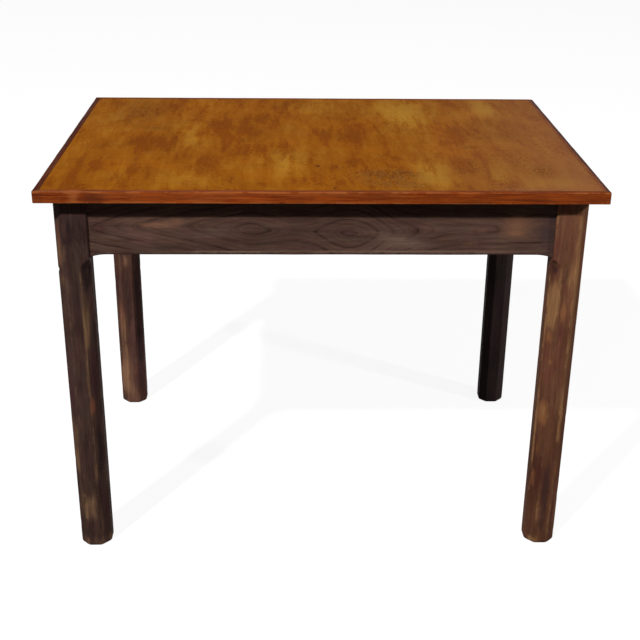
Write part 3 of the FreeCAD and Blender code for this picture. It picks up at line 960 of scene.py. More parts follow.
@dataclass
class Leg:
    """One leg: square stock with eight facets, two of which stop under the aprons.

    Seen along its length, each facet stands at a set distance from the leg's axis, and between
    two facets runs an arc of the arris radius, which wanders with the height as a worn arris does.
    """

    corner: Corner
    finish: StainedWood
    wear: WearAndShade = WearAndShade()
    through_chamfer: float = 0.0155
    stopped_chamfer: float = 0.0175
    runout: float = 0.024
    stop_gap: float = 0.0005
    foot_easing: float = 0.0055
    arris_radius: float = 0.003
    arris_wander: float = 0.0008
    foot_wear: float = 0.0070
    foot_wear_height: float = 0.016
    wear_pitch: float = 0.035
    arris_fade: float = 0.0022
    hollow: float = 0.00018
    hollow_pitch: float = 0.05
    ring_pitch: float = 0.005
    flat_points: int = 8
    arc_points: int = 5
    closing: tuple[float, ...] = (0.12, 0.35, 0.6, 0.85)
    dents: int = 16
    dent_depth: float = 0.0007
    dent_low: float = 0.01
    dent_range: float = 0.58
    dent_crowding: float = 1.6
    dent_swing: float = 4.0
    dent_reach: tuple[float, float] = (0.003, 0.009)
    nick: Patch | None = None
    nick_depth: float = 0.0018

    def __post_init__(self) -> None:
        """Takes the leg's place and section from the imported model."""
        low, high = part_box("leg_" + self.corner.name.lower())
        self.axis = np.array([(low.x + high.x) / 2, (low.y + high.y) / 2])
        self.half = (high.x - low.x) / 2
        self.top = high.z
        self.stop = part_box("apron_front")[0].z - self.stop_gap - self.runout
        self.seed = 11 + 17 * list(Corner).index(self.corner)

    def heights(self) -> tuple[np.ndarray, np.ndarray, np.ndarray]:
        """The rings' heights, how far each is drawn in all round, and its share of full size.

        The foot's edge is a quarter circle of the easing, and rings of growing size close the foot.

        Returns:
            The heights, the insets and the shares, one of each for every ring.
        """
        swing = np.linspace(0.0, math.pi / 2, 6)
        shaft = np.arange(2 * self.foot_easing, self.stop, self.ring_pitch)
        runout = np.linspace(self.stop, self.stop + self.runout, 21)
        head = np.linspace(self.stop + self.runout, self.top, 24)[1:]
        height = np.concatenate([
            np.zeros(len(self.closing)), self.foot_easing * (1.0 - np.cos(swing)), shaft, runout, head])
        inset = np.concatenate([
            np.full(len(self.closing), self.foot_easing), self.foot_easing * (1.0 - np.sin(swing)),
            np.zeros(len(shaft) + len(runout) + len(head))])
        share = np.concatenate([self.closing, np.ones(len(height) - len(self.closing))])
        return height, inset, share

    def facets(self, height: np.ndarray, radius: np.ndarray) -> np.ndarray:
        """The distance of each of the eight facets from the leg's axis at each height.

        A stopped chamfer keeps its depth up to the stop and then leaves along an arc, at
        depth - r + sqrt(r^2 - climb^2). No chamfer is narrower than its two arcs need.

        Args:
            height: the rings' heights.
            radius: radius of each ring's eight arcs.

        Returns:
            Eight distances for every ring.
        """
        through = self.through_chamfer / math.sqrt(2)
        depth = self.stopped_chamfer / math.sqrt(2)
        curve = (self.runout ** 2 + depth ** 2) / (2 * depth)
        climb = np.clip(height - self.stop, 0.0, self.runout)
        left = depth - curve + np.sqrt(curve ** 2 - climb ** 2)
        distance = np.full((len(height), 8), self.half)
        for facet in (1, 3, 5, 7):
            sign_x = 1 if facet in (1, 7) else -1
            sign_y = 1 if facet in (1, 3) else -1
            stopped = sign_x * sign_y != self.corner.value[0] * self.corner.value[1]
            wide = (radius[:, facet - 1] + radius[:, facet]) / 2 * math.tan(EIGHTH_TURN / 2)
            distance[:, facet] = np.minimum(
                self.half * math.sqrt(2) - (left if stopped else through), self.half * math.sqrt(2) - wide)
        return distance

    def outline(self, distance: np.ndarray, radius: np.ndarray) -> tuple[np.ndarray, np.ndarray]:
        """Points round the leg at each height, and the direction that each faces.

        Each arc's middle is where two facets, moved inwards by the radius, meet.

        Args:
            distance: distance of each ring's eight facets from the axis.
            radius: radius of each ring's eight arcs.

        Returns:
            The points about the leg's axis, and the directions in radians.
        """
        facing = np.arange(8) * EIGHTH_TURN
        after = facing + EIGHTH_TURN
        near = distance - radius
        far = np.roll(distance, -1, axis=1) - radius
        x = near * np.sin(after) - far * np.sin(facing)
        y = far * np.cos(facing) - near * np.cos(after)
        middle = np.stack([x, y], axis=-1) / math.sin(EIGHTH_TURN)
        sweep = facing[:, None] + EIGHTH_TURN * np.linspace(0.0, 1.0, self.arc_points)
        spokes = np.stack([np.cos(sweep), np.sin(sweep)], axis=-1)
        arcs = middle[:, :, None, :] + radius[:, :, None, None] * spokes
        share = (1.0 - np.cos(np.pi * np.arange(1, self.flat_points + 1) / (self.flat_points + 1))) / 2
        start = np.roll(arcs[:, :, -1, :], 1, axis=1)[:, :, None, :]
        end = arcs[:, :, 0, :][:, :, None, :]
        flats = start + (end - start) * share[:, None]
        faces = np.concatenate([np.broadcast_to(facing[:, None], (8, self.flat_points)), sweep], axis=1)
        points = np.concatenate([flats, arcs], axis=2)
        return points.reshape(len(points), -1, 2), faces.reshape(-1)

    def skin(self) -> Skin:
        """The leg's surface with its wear, dents and the values that its finish reads.

        Each arris's radius is its own plus its wander and foot wear * exp(-height / wear height).
        The faces sink by a gentle ripple, by the dents and by the nick. Among the values, a few dark
        patches just under the aprons are painted shade.

        Returns:
            The skin.
        """
        height, inset, share = self.heights()
        radius = np.stack([
            self.arris_radius + self.arris_wander * wander(height, self.wear_pitch, self.seed + arris)
            + self.foot_wear * np.exp(-height / self.foot_wear_height) for arris in range(8)], axis=1)
        distance = self.facets(height, radius) - inset[:, None]
        points, facing = self.outline(distance, radius)
        bearing = np.degrees(np.arctan2(points[..., 1], points[..., 0]))
        level = np.broadcast_to(height[:, None], bearing.shape)
        hollows = ripple(level, np.radians(bearing) * self.half, self.hollow_pitch, self.seed)
        sink = self.hollow * (1.0 + hollows) / 2
        sink = sink + self.dent_depth * covered(self.dent_places(), level, bearing, FULL_TURN)
        if self.nick:
            sink = sink + self.nick_depth * self.nick.cover(level, bearing, FULL_TURN)
        sink = np.where(share[:, None] < 1.0, 0.0, sink)
        outwards = np.stack([np.cos(facing), np.sin(facing)], axis=-1)
        points = (points - sink[..., None] * outwards) * share[:, None, None]
        place = np.concatenate([points + self.axis, level[..., None]], axis=-1)
        return Skin(place, {"arris": self.near_arris(points), **self.wear.values(level, bearing, FULL_TURN)})

    def near_arris(self, points: np.ndarray) -> np.ndarray:
        """1 on the arcs, and on a facet exp(-(distance / fade)^2) of the distance from the nearer arc.

        Args:
            points: the points round the leg, about its axis.

        Returns:
            A number from 0 to 1 for every point.
        """
        blocks = points.reshape(len(points), 8, self.flat_points + self.arc_points, 2)
        flats = blocks[:, :, :self.flat_points]
        start = np.roll(blocks[:, :, -1], 1, axis=1)[:, :, None]
        end = blocks[:, :, self.flat_points][:, :, None]
        away = np.minimum(np.linalg.norm(flats - start, axis=-1), np.linalg.norm(flats - end, axis=-1))
        fade = np.exp(-(away / self.arris_fade) ** 2)
        whole = np.concatenate([fade, np.ones((len(points), 8, self.arc_points))], axis=2)
        return whole.reshape(len(points), -1)

    def dent_places(self) -> tuple[Patch, ...]:
        """Knocks at random heights, on the arrises, more of them near the foot.

        Returns:
            The dents, placed by height and bearing.
        """
        random = np.random.default_rng(self.seed)
        eighth = FULL_TURN / 8
        places = []
        for _ in range(self.dents):
            height = self.dent_range * random.uniform() ** self.dent_crowding + self.dent_low
            bearing = eighth * (0.5 + random.integers(8)) + random.uniform(-self.dent_swing, self.dent_swing)
            reach = random.uniform(*self.dent_reach)
            across = math.degrees(reach / self.half)
            places.append(Patch((height, bearing), (reach, across), random.uniform(0.3, 1.0)))
        return tuple(places)

    def build(self, groups: Groups) -> bpy.types.Object:
        """Builds the leg in place of its node.

        Args:
            groups: the shared groups.

        Returns:
            The piece.
        """
        name = self.corner.name.lower()
        piece = self.skin().build("worn_leg_" + name, self.finish.material(groups))
        return stand_for(piece, "leg_" + name)


@dataclass
class Apron:
    """One apron board between two legs, with its relieved, rounded lower edge and button groove.

    The section is carried along the board; its lower edge follows the relief: level in the
    middle, then down an arc of r = (l^2 + d^2) / 2d over the last length l, by a drop of d.
    """

    side: Side
    finish: StainedWood
    wear: WearAndShade = WearAndShade()
    rise: Course = ((0.0,), (0.0,))
    ridge: Course = ((0.0,), (0.0,))
    end_drop: float = 0.0055
    end_length: float = 0.030
    face_radius: float = 0.004
    face_wander: float = 0.0006
    face_pitch: float = 0.05
    back_radius: float = 0.0015
    back_wander: float = 0.0003
    back_pitch: float = 0.03
    groove_drop: float = 0.010
    groove_height: float = 0.008
    groove_depth: float = 0.009
    tenon_length: float = 0.032
    unevenness: float = 0.00015
    uneven_pitch: float = 0.06
    worn_strip: float = 0.008
    arris_fade: float = 0.003
    easing: float = 0.012
    quarter_points: int = 6
    back_share: float = 0.35
    pitch: float = 0.005

    def __post_init__(self) -> None:
        """Takes the board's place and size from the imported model."""
        low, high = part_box("apron_" + self.side.name.lower())
        across = self.side in (Side.FRONT, Side.BACK)
        self.half = (high.x if across else high.y) - self.tenon_length
        self.face = max(abs(low.y), abs(high.y)) if across else max(abs(low.x), abs(high.x))
        self.thickness = high.y - low.y if across else high.x - low.x
        self.low, self.top = low.z, high.z
        self.seed = 101 + 13 * self.side.value

    def lower_edge(self, along: np.ndarray) -> np.ndarray:
        """Height of the board's lower edge along it.

        Args:
            along: places along the board, from its middle.

        Returns:
            The heights.
        """
        radius = (self.end_length ** 2 + self.end_drop ** 2) / (2 * self.end_drop)
        into = np.clip(np.abs(along) - (self.half - self.end_length), 0.0, self.end_length)
        return self.low + self.end_drop - radius + np.sqrt(radius ** 2 - into ** 2)

    def section(self, edge: float, face_radius: float, back_radius: float) -> tuple[np.ndarray, np.ndarray]:
        """Points round the section above a lower edge, and how near each is to a rounded arris.

        Both lower arrises are quarter circles. On the outer face the nearness is
        exp(-(height / fade)^2), with the height taken from the end of the arris.

        Args:
            edge: height of the lower edge.
            face_radius: radius of the outer arris.
            back_radius: radius of the inner arris.

        Returns:
            The points, by distance out from the table's middle and height, and their nearness.
        """
        back = self.face - self.thickness
        groove_high = self.top - self.groove_drop
        groove_low = groove_high - self.groove_height
        quarter = np.linspace(0.0, math.pi / 2, self.quarter_points)
        turn_back = np.stack([
            back + back_radius * (1 - np.cos(quarter)), edge + back_radius * (1 - np.sin(quarter))], 1)
        turn_face = np.stack([
            self.face - face_radius * (1 - np.sin(quarter)), edge + face_radius * (1 - np.cos(quarter))], 1)
        bottom = self.run((back + back_radius, edge), (self.face - face_radius, edge), 5)
        ledge = edge + face_radius + self.worn_strip
        outer = np.concatenate([
            self.run((self.face, edge + face_radius), (self.face, ledge), 4),
            self.run((self.face, ledge), (self.face, self.top), 22)])
        head = self.run((self.face, self.top), (back, self.top), 4)
        inner = np.array([
            (back, self.top), (back, groove_high), (back + self.groove_depth, groove_high),
            (back + self.groove_depth, groove_low), (back, groove_low)])
        inside = self.run((back, groove_low), (back, edge + back_radius), 16)
        fade = np.exp(-((outer[:, 1] - edge - face_radius) / self.arris_fade) ** 2)
        rounded = np.ones(self.quarter_points)
        arris = [
            rounded, np.zeros(len(bottom)), rounded, fade, np.zeros(len(head) + len(inner) + len(inside))]
        points = np.concatenate([turn_back, bottom, turn_face, outer, head, inner, inside])
        return points, np.concatenate(arris)

    @staticmethod
    def run(start: tuple[float, float], end: tuple[float, float], count: int) -> np.ndarray:
        """Even points strictly between two points."""
        share = np.linspace(0.0, 1.0, count + 2)[1:-1, None]
        return np.array(start) + (np.array(end) - np.array(start)) * share

    def eased(self, place: np.ndarray, course: Course) -> np.ndarray:
        """Heights along a course of straight runs, averaged over the easing to either side."""
        shifts = np.linspace(-self.easing, self.easing, 7)
        return sum(np.interp(place + shift, *course) for shift in shifts) / len(shifts)

    def skin(self) -> Skin:
        """The board's surface, slightly uneven, with the values that its finish reads.

        The section at each place stands on the lower edge there, and the outer face sinks by a
        gentle ripple.

        Returns:
            The skin.
        """
        steps = int(2 * self.half / self.pitch)
        along = np.linspace(-self.half, self.half, steps + 1)
        edges = self.lower_edge(along)
        face_radius = self.face_radius + self.face_wander * wander(along, self.face_pitch, self.seed)
        back_radius = self.back_radius + self.back_wander * wander(along, self.back_pitch, self.seed + 1)
        sections, arris = zip(*(
            self.section(edge, near, far) for edge, near, far in zip(edges, face_radius, back_radius)))
        flat = np.stack(sections)
        outside = flat[..., 0] > self.face - self.face_radius
        x = np.broadcast_to(along[:, None], flat.shape[:2])
        sink = self.unevenness * (1.0 + ripple(x, flat[..., 1], self.uneven_pitch, self.seed)) / 2
        out = flat[..., 0] - np.where(outside, sink, 0.0)
        points = turned(np.stack([x, out, flat[..., 1]], axis=-1), self.side.value)
        seen = -x if self.side is Side.FRONT else x
        face_side = np.where(outside, 1.0, self.back_share)
        values = {
            "rise": self.eased(seen, self.rise),
            "ridge": self.eased(seen, self.ridge),
            "arris": np.stack(arris),
            **{label: cover * face_side for label, cover in self.wear.values(seen, flat[..., 1]).items()},
        }
        return Skin(points, values)

    def build(self, groups: Groups) -> bpy.types.Object:
        """Builds the board in place of its node.

        Args:
            groups: the shared groups.

        Returns:
            The piece.
        """
        name = self.side.name.lower()
        piece = self.skin().build("apron_board_" + name, self.finish.material(groups))
        return stand_for(piece, "apron_" + name)


@dataclass
class Lipping:
    """One strip of the lipping, mitred at both ends, with worn arrises.

    A section between an inner and an outer line is carried along the strip. The outer line is
    straight and ends in an eighth of a circle at each rounded corner, where the mitre cuts it.
    """

    side: Side
    finish: LippingWood
    worn: tuple[Patch, ...] = ()
    dusk: tuple[Patch, ...] = ()
    outer_dusk: float = 0.0
    width: float = 0.011
    corner_radius: float = 0.0025
    worn_corner_radius: float = 0.009
    arris_radius: float = 0.0015
    arris_wander: float = 0.0005
    upper_pitch: float = 0.04
    lower_pitch: float = 0.03
    lower_radius_share: float = 0.8
    lower_wander_share: float = 0.6
    seam_drop: float = 0.00012
    unevenness: float = 0.00012
    uneven_pitch: float = 0.05
    mitre_width: float = 0.0006
    mitre_strength: float = 0.8
    mitre_steps: Triple = (0.0001, 0.0006, 0.002)
    dusk_start: float = 0.25
    dusk_reach: float = 0.3
    fan: float = 0.030
    pitch: float = 0.006

    def __post_init__(self) -> None:
        """Takes the top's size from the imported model."""
        low, high = CAD_BOX
        across = self.side in (Side.FRONT, Side.BACK)
        self.along = high.x if across else high.y
        self.out = high.y if across else high.x
        self.low, self.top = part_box("lipping_" + self.side.name.lower())[0].z, high.z
        self.seed = 211 + 19 * self.side.value

    def end_radius(self, end: int) -> float:
        """Radius of the top's corner at one end of the strip: one corner of the top is worn round."""
        worn_end = {Side.BACK: 1, Side.RIGHT: -1}.get(self.side)
        return self.worn_corner_radius if end == worn_end else self.corner_radius

    def lines(self) -> tuple[np.ndarray, np.ndarray]:
        """Points of the outer and of the inner line, paired one to one.

        Returns:
            The outer and the inner line's points.
        """
        swing = np.linspace(0.0, EIGHTH_TURN, 7)[1:]
        left, right = self.end_radius(-1), self.end_radius(1)
        count = int(2 * self.along / self.pitch)
        straight = np.linspace(-self.along + left, self.along - right, count)
        near = np.array(self.mitre_steps)
        straight = np.concatenate([
            straight[:1], straight[0] + near, straight[1:-1], straight[-1] - near[::-1], straight[-1:]])
        left_turn = -(self.along - left + left * np.sin(swing[::-1]))
        right_turn = self.along - right + right * np.sin(swing)
        x = np.concatenate([left_turn, straight, right_turn])
        y = np.concatenate([
            self.out - left * (1 - np.cos(swing[::-1])), np.full(len(straight), self.out),
            self.out - right * (1 - np.cos(swing))])
        inside = np.full(len(x), self.out - self.width)
        reach = self.along - self.width
        body = self.along - self.fan
        ends = np.interp(np.abs(x), [0.0, body, abs(x[0])], [0.0, body, reach])
        last = np.interp(np.abs(x), [0.0, body, abs(x[-1])], [0.0, body, reach])
        return np.stack([x, y], 1), np.stack([np.where(x < 0, -ends, last), inside], 1)

    def skin(self) -> Skin:
        """The strip's surface with its worn arrises and the values that its finish reads.

        Both arrises are quarter circles whose radius wanders along the strip. The joint's value is
        1 at the seam and exp(-(distance / width)^2) beside a mitre.

        Returns:
            The skin.
        """
        outer, inner = self.lines()
        x = outer[:, 0]
        wide = np.linalg.norm(outer - inner, axis=1)
        high = self.arris_radius + self.arris_wander * wander(x, self.upper_pitch, self.seed)
        lower_wander = self.lower_wander_share * self.arris_wander
        lower = self.lower_radius_share * self.arris_radius
        lower = lower + lower_wander * wander(x, self.lower_pitch, self.seed + 1)
        swing = np.linspace(0.0, math.pi / 2, 6)
        share, level, arris, seam = [], [], [], []

        def add(across: np.ndarray, height: np.ndarray | float, near: float, joint: float) -> None:
            """Adds one line of points along the strip at a distance in from the outside.

            Args:
                across: distance in from the outside.
                height: height of the line.
                near: how near it is to an arris, from 0 to 1.
                joint: how near it is to the seam, from 0 to 1.
            """
            share.append(1.0 - across / wide)
            level.append(np.broadcast_to(height, x.shape))
            arris.append(np.full(len(x), near))
            seam.append(np.full(len(x), joint))

        for part in (0.0, 0.06, 0.35, 0.7):
            add(wide * (1 - part), self.low, 0.0, 1.0 if part == 0.0 else 0.0)
        for angle in swing:
            add(lower * (1 - math.sin(angle)), self.low + lower * (1 - math.cos(angle)), 1.0, 0.0)
        for part in (0.06, 0.2, 0.4, 0.6, 0.8, 0.94):
            height = self.low + lower + (self.top - high - self.low - lower) * part
            sink = self.unevenness * (1 + ripple(x, height, self.uneven_pitch, self.seed))
            add(sink, height, 0.35 if part in (0.06, 0.94) else 0.0, 0.0)
        for angle in swing:
            add(high * (1 - math.cos(angle)), self.top - high * (1 - math.sin(angle)), 1.0, 0.0)
        for part, joint in ((0.12, 0.0), (0.35, 0.0), (0.65, 0.0), (0.9, 0.0), (0.955, 0.25), (1.0, 1.0)):
            drop = self.seam_drop * joint
            add(high + (wide - high) * part, self.top - drop, 0.3 if part == 0.12 else 0.0, joint)
        across = np.stack(share, axis=1)
        spread = inner[:, None, :] + (outer - inner)[:, None, :] * across[..., None]
        z = np.stack(level, axis=1)
        points = turned(np.concatenate([spread, z[..., None]], axis=-1), self.side.value)
        seen = -x if self.side is Side.FRONT else x
        mitre = np.minimum(np.abs(x - x[0]), np.abs(x - x[-1]))[:, None]
        mitre_line = np.exp(-(mitre / self.mitre_width) ** 2) * self.mitre_strength
        outside = self.outer_dusk * np.clip((across - self.dusk_start) / self.dusk_reach, 0, 1)
        values = {
            "arris": np.stack(arris, axis=1),
            "joint": np.maximum(np.stack(seam, axis=1), mitre_line),
            "worn": covered(self.worn, seen[:, None], z),
            "dusk": np.minimum(covered(self.dusk, seen[:, None], z) + outside, 1.0),
        }
        return Skin(points, values)

    def build(self, groups: Groups) -> bpy.types.Object:
        """Builds the strip in place of its node.

        Args:
            groups: the shared groups.

        Returns:
            The piece.
        """
        name = self.side.name.lower()
        piece = self.skin().build("lipping_strip_" + name, self.finish.material(groups))
        return stand_for(piece, "lipping_" + name)


@dataclass
class FaceVeneer:
    """The veneered face of the top: almost flat, with worn hollows, and sunk along its seam."""

    finish: VeneerFace
    gold: tuple[Patch, ...]
    amber: tuple[Patch, ...]
    smudge: tuple[Patch, ...]
    # Patches of painted sheen, added to the sheen's ramp towards the right end.
    painted_sheen: tuple[Patch, ...]
    pitch: float = 0.005
    seam_drop: float = 0.00014
    seam_width: float = 0.0006
    waviness: float = 0.00010
    wave_pitch: float = 0.11
    seed: int = 5
    dent_seed: int = 77
    edge_steps: tuple[float, ...] = (0.0, 0.0003, 0.0006, 0.0012, 0.0025)
    # The ramp of painted sheen: where it starts along the width, its slant with the depth, the distance to
    # full strength and the curve of its rise.
    sheen_from: float = 0.12
    sheen_slant: float = 0.12
    sheen_reach: float = 0.38
    sheen_curve: float = 1.5
    dents: int = 26
    dent_depth: float = 0.0003
    dent_spread: tuple[float, float] = (0.94, 0.92)
    dent_reach: tuple[float, float] = (0.006, 0.016)

    def spaced(self, half: float) -> np.ndarray:
        """Stations from one edge to the other, crowded beside the edges to hold the seam.

        Args:
            half: half the sheet's size in this direction.

        Returns:
            The stations.
        """
        near = np.array(self.edge_steps)
        middle = np.linspace(-half + self.pitch, half - self.pitch, int(2 * half / self.pitch))
        return np.concatenate([near - half, middle, half - near[::-1]])

    def skin(self) -> Skin:
        """The sheet's surface and the values that its finish reads.

        The face sinks by a gentle ripple, by round dents and, within the seam's width of an edge,
        by drop * exp(-(distance / width)^2).

        Returns:
            The skin.
        """
        low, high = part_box("top_face_veneer")
        x, y = self.spaced(high.x), self.spaced(high.y)[::-1]
        edge = np.minimum(high.x - np.abs(x)[:, None], high.y - np.abs(y)[None, :])
        seam = np.exp(-(edge / self.seam_width) ** 2)
        sink = self.waviness * (1.0 + ripple(x[:, None], y[None, :], self.wave_pitch, self.seed)) / 2
        sink = sink + self.dent_depth * covered(self.dent_places(high), x[:, None], y[None, :])
        top = high.z - sink * (1.0 - seam) - self.seam_drop * seam
        rows = len(x)
        under = np.array([low.y, high.y])
        across = np.concatenate([
            np.broadcast_to(under, (rows, 2)), np.broadcast_to(y, (rows, len(y)))], axis=1)
        level = np.concatenate([np.full((rows, 2), low.z), top], axis=1)
        along = np.broadcast_to(x[:, None], across.shape)
        # A ramp of painted sheen towards the right end, standing in for a reflection.
        into = (along - self.sheen_from - self.sheen_slant * across) / self.sheen_reach
        sheen_ramp = np.clip(into, 0.0, 1.0) ** self.sheen_curve
        values = {
            "gold": covered(self.gold, along, across),
            "amber": covered(self.amber, along, across),
            "smudge": covered(self.smudge, along, across),
            "painted_sheen": np.clip(sheen_ramp + covered(self.painted_sheen, along, across), 0.0, 1.0),
            "joint": np.concatenate([np.zeros((rows, 2)), seam], axis=1),
        }
        return Skin(np.stack([along, across, level], axis=-1), values)

    def dent_places(self, high: Vector) -> tuple[Patch, ...]:
        """Shallow round dents at random places.

        Args:
            high: the sheet's high corner.

        Returns:
            The dents.
        """
        random = np.random.default_rng(self.dent_seed)
        wide, deep = self.dent_spread
        places = []
        for _ in range(self.dents):
            middle = (random.uniform(-wide, wide) * high.x, random.uniform(-deep, deep) * high.y)
            reach = random.uniform(*self.dent_reach)
            places.append(Patch(middle, (reach, reach), random.uniform(0.2, 1.0), 2.0))
        return tuple(places)

    def build(self, groups: Groups) -> bpy.types.Object:
        """Builds the sheet in place of its node."""
        piece = self.skin().build("face_veneer_sheet", self.finish.material(groups))
        return stand_for(piece, "top_face_veneer")


@dataclass
class HiddenPieces:
    """The pieces under the top whose shapes are right as packed, and which only get a finish."""

    core: RawWood
    backing: RawWood
    blocks: RawWood
    buttons: RawWood
    steel: DullSteel

    def build(self, groups: Groups) -> None:
        """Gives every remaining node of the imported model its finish.

        Args:
            groups: the shared groups.
        """
        blocks = self.blocks.material(groups)
        steel = self.steel.material(groups)
        finishes = {
            "top_core": self.core.material(groups),
            "top_backing_veneer": self.backing.material(groups),
            "top_buttons": self.buttons.material(groups),
            "top_button_screws": steel,
            "corner_block_screws": steel,
            **{"corner_block_" + corner.name.lower(): blocks for corner in Corner},
        }
        for node, material in finishes.items():
            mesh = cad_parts[node].data
            mesh.materials.clear()
            mesh.materials.append(material)
            LOG.info("%s keeps its packed shape, finished with %s", node, material.name)


@dataclass
class Studio:
    """A pale floor, a key lamp at the front left, a weaker one at the right, and the camera."""

    camera_place: Triple = (-0.0566, -2.2314, 1.3339)
    pitch: float = 0.4167
    yaw: float = 0.0283
    roll: float = 0.0111
    focal_pixels: float = 1136.18
    picture_pixels: float = 640.0
    sensor: float = 36.0
    key_towards: Triple = (-0.64, -1.0, 1.085)
    key_distance: float = 9.0
    key_size: float = 0.36
    key_power: float = 900.0
    side_towards: Triple = (2.0, -1.0, 0.99)
    side_distance: float = 5.0
    side_size: float = 0.25
    side_power: float = 118.0
    front_room_light: float = 0.12
    back_room_light: float = 0.45
    room_low: Colour = paint(214, 214, 214)
    room_high: Colour = paint(104, 104, 106)
    room_rise: tuple[float, float] = (0.03, 0.26)
    floor_reach: float = 40.0
    floor_lit: Colour = (0.13, 0.13, 0.13, 1.0)
    floor_seen: Colour = (0.16, 0.16, 0.16, 1.0)
    floor_glow: float = 0.90
    aim: Triple = (0.0, 0.0, 0.5)

    def camera(self) -> None:
        """Makes the camera: it looks down by the pitch, to the right by the yaw, and rolls a little."""
        level = math.cos(self.pitch)
        forward = Vector((math.sin(self.yaw) * level, math.cos(self.yaw) * level, -math.sin(self.pitch)))
        right = Vector((math.cos(self.yaw), -math.sin(self.yaw), 0.0))
        above = right.cross(forward)
        across = right * math.cos(self.roll) + above * math.sin(self.roll)
        upward = above * math.cos(self.roll) - right * math.sin(self.roll)
        lens = bpy.data.cameras.new("camera")
        lens.sensor_width = self.sensor
        lens.lens = self.focal_pixels / self.picture_pixels * self.sensor
        lens.clip_end = 100.0
        camera = bpy.data.objects.new("camera", lens)
        turn = Matrix((across, upward, -forward)).transposed().to_4x4()
        camera.matrix_world = Matrix.Translation(self.camera_place) @ turn
        bpy.context.scene.collection.objects.link(camera)
        bpy.context.scene.camera = camera

    def lamp(self, name: str, towards: Triple, distance: float, size: float, power: float) -> None:
        """Makes a square lamp that points at the table from a direction.

        Args:
            name: the lamp's name.
            towards: direction from the table to the lamp.
            distance: its distance from the point that it aims at.
            size: side of the square.
            power: its power in watts.
        """
        away = Vector(towards).normalized()
        light = bpy.data.lights.new(name, "AREA")
        light.size = size
        light.energy = power
        lamp = bpy.data.objects.new(name, light)
        lamp.location = Vector(self.aim) + away * distance
        lamp.rotation_euler = away.to_track_quat("Z", "Y").to_euler()
        bpy.context.scene.collection.objects.link(lamp)

    @staticmethod
    def seen_directly(net: Net) -> Socket:
        """1 for rays from the camera and for those mirrored or let through, 0 for light.

        Args:
            net: the material's or the world's net.

        Returns:
            The number.
        """
        path = net.node("LightPath").outputs
        seen = net.maths("MAXIMUM", path["Is Camera Ray"], path["Is Glossy Ray"])
        return net.maths("MAXIMUM", seen, path["Is Transmission Ray"])

    def room(self) -> None:
        """Makes the even light of the room; looked at directly it is white, and greyer overhead."""
        world = bpy.data.worlds.new("room")
        world.use_nodes = True
        net = Net(world.node_tree)
        world.node_tree.nodes.clear()
        _, backward, upward = net.parts(net.node("TexCoord").outputs["Generated"])
        shown = net.mix(net.span(upward, *self.room_rise), self.room_low, self.room_high)
        light = net.span(backward, 0.1, 1.0, self.front_room_light, self.back_room_light)
        even = net.joined(light, light, light)
        colour = net.mix(self.seen_directly(net), even, shown)
        glow = net.node("Background", {"Color": colour, "Strength": 1.0})
        net.feed(net.node("OutputWorld").inputs["Surface"], glow.outputs[0])
        bpy.context.scene.world = world

    def floor(self) -> None:
        """Makes the floor: pale to light, near white to the camera, and it keeps the table's shadow."""
        reach = self.floor_reach
        mesh = bpy.data.meshes.new("floor")
        corners = [(-reach, -reach, 0), (reach, -reach, 0), (reach, reach, 0), (-reach, reach, 0)]
        mesh.from_pydata(corners, [], [(0, 1, 2, 3)])
        material = bpy.data.materials.new("pale_floor")
        material.use_nodes = True
        net = Net(material.node_tree)
        material.node_tree.nodes.clear()
        seen = net.node("AddShader", {
            0: net.node("BsdfDiffuse", {"Color": self.floor_seen}).outputs[0],
            1: net.node("Emission", {"Color": (1.0, 1.0, 1.0, 1.0), "Strength": self.floor_glow}).outputs[0],
        })
        lit = net.node("BsdfDiffuse", {"Color": self.floor_lit})
        surface = net.node("MixShader", {0: self.seen_directly(net), 1: lit.outputs[0], 2: seen.outputs[0]})
        net.feed(net.node("OutputMaterial").inputs["Surface"], surface.outputs[0])
        mesh.materials.append(material)
        floor = bpy.data.objects.new("floor", mesh)
        bpy.context.scene.collection.objects.link(floor)

    def build(self) -> None:
        """Sets up the whole studio."""
        self.camera()
        self.lamp("key_lamp", self.key_towards, self.key_distance, self.key_size, self.key_power)
        self.lamp("side_lamp", self.side_towards, self.side_distance, self.side_size, self.side_power)
        self.room()
        self.floor()
        bpy.context.scene.view_settings.view_transform = "Standard"
        LOG.info("studio ready")


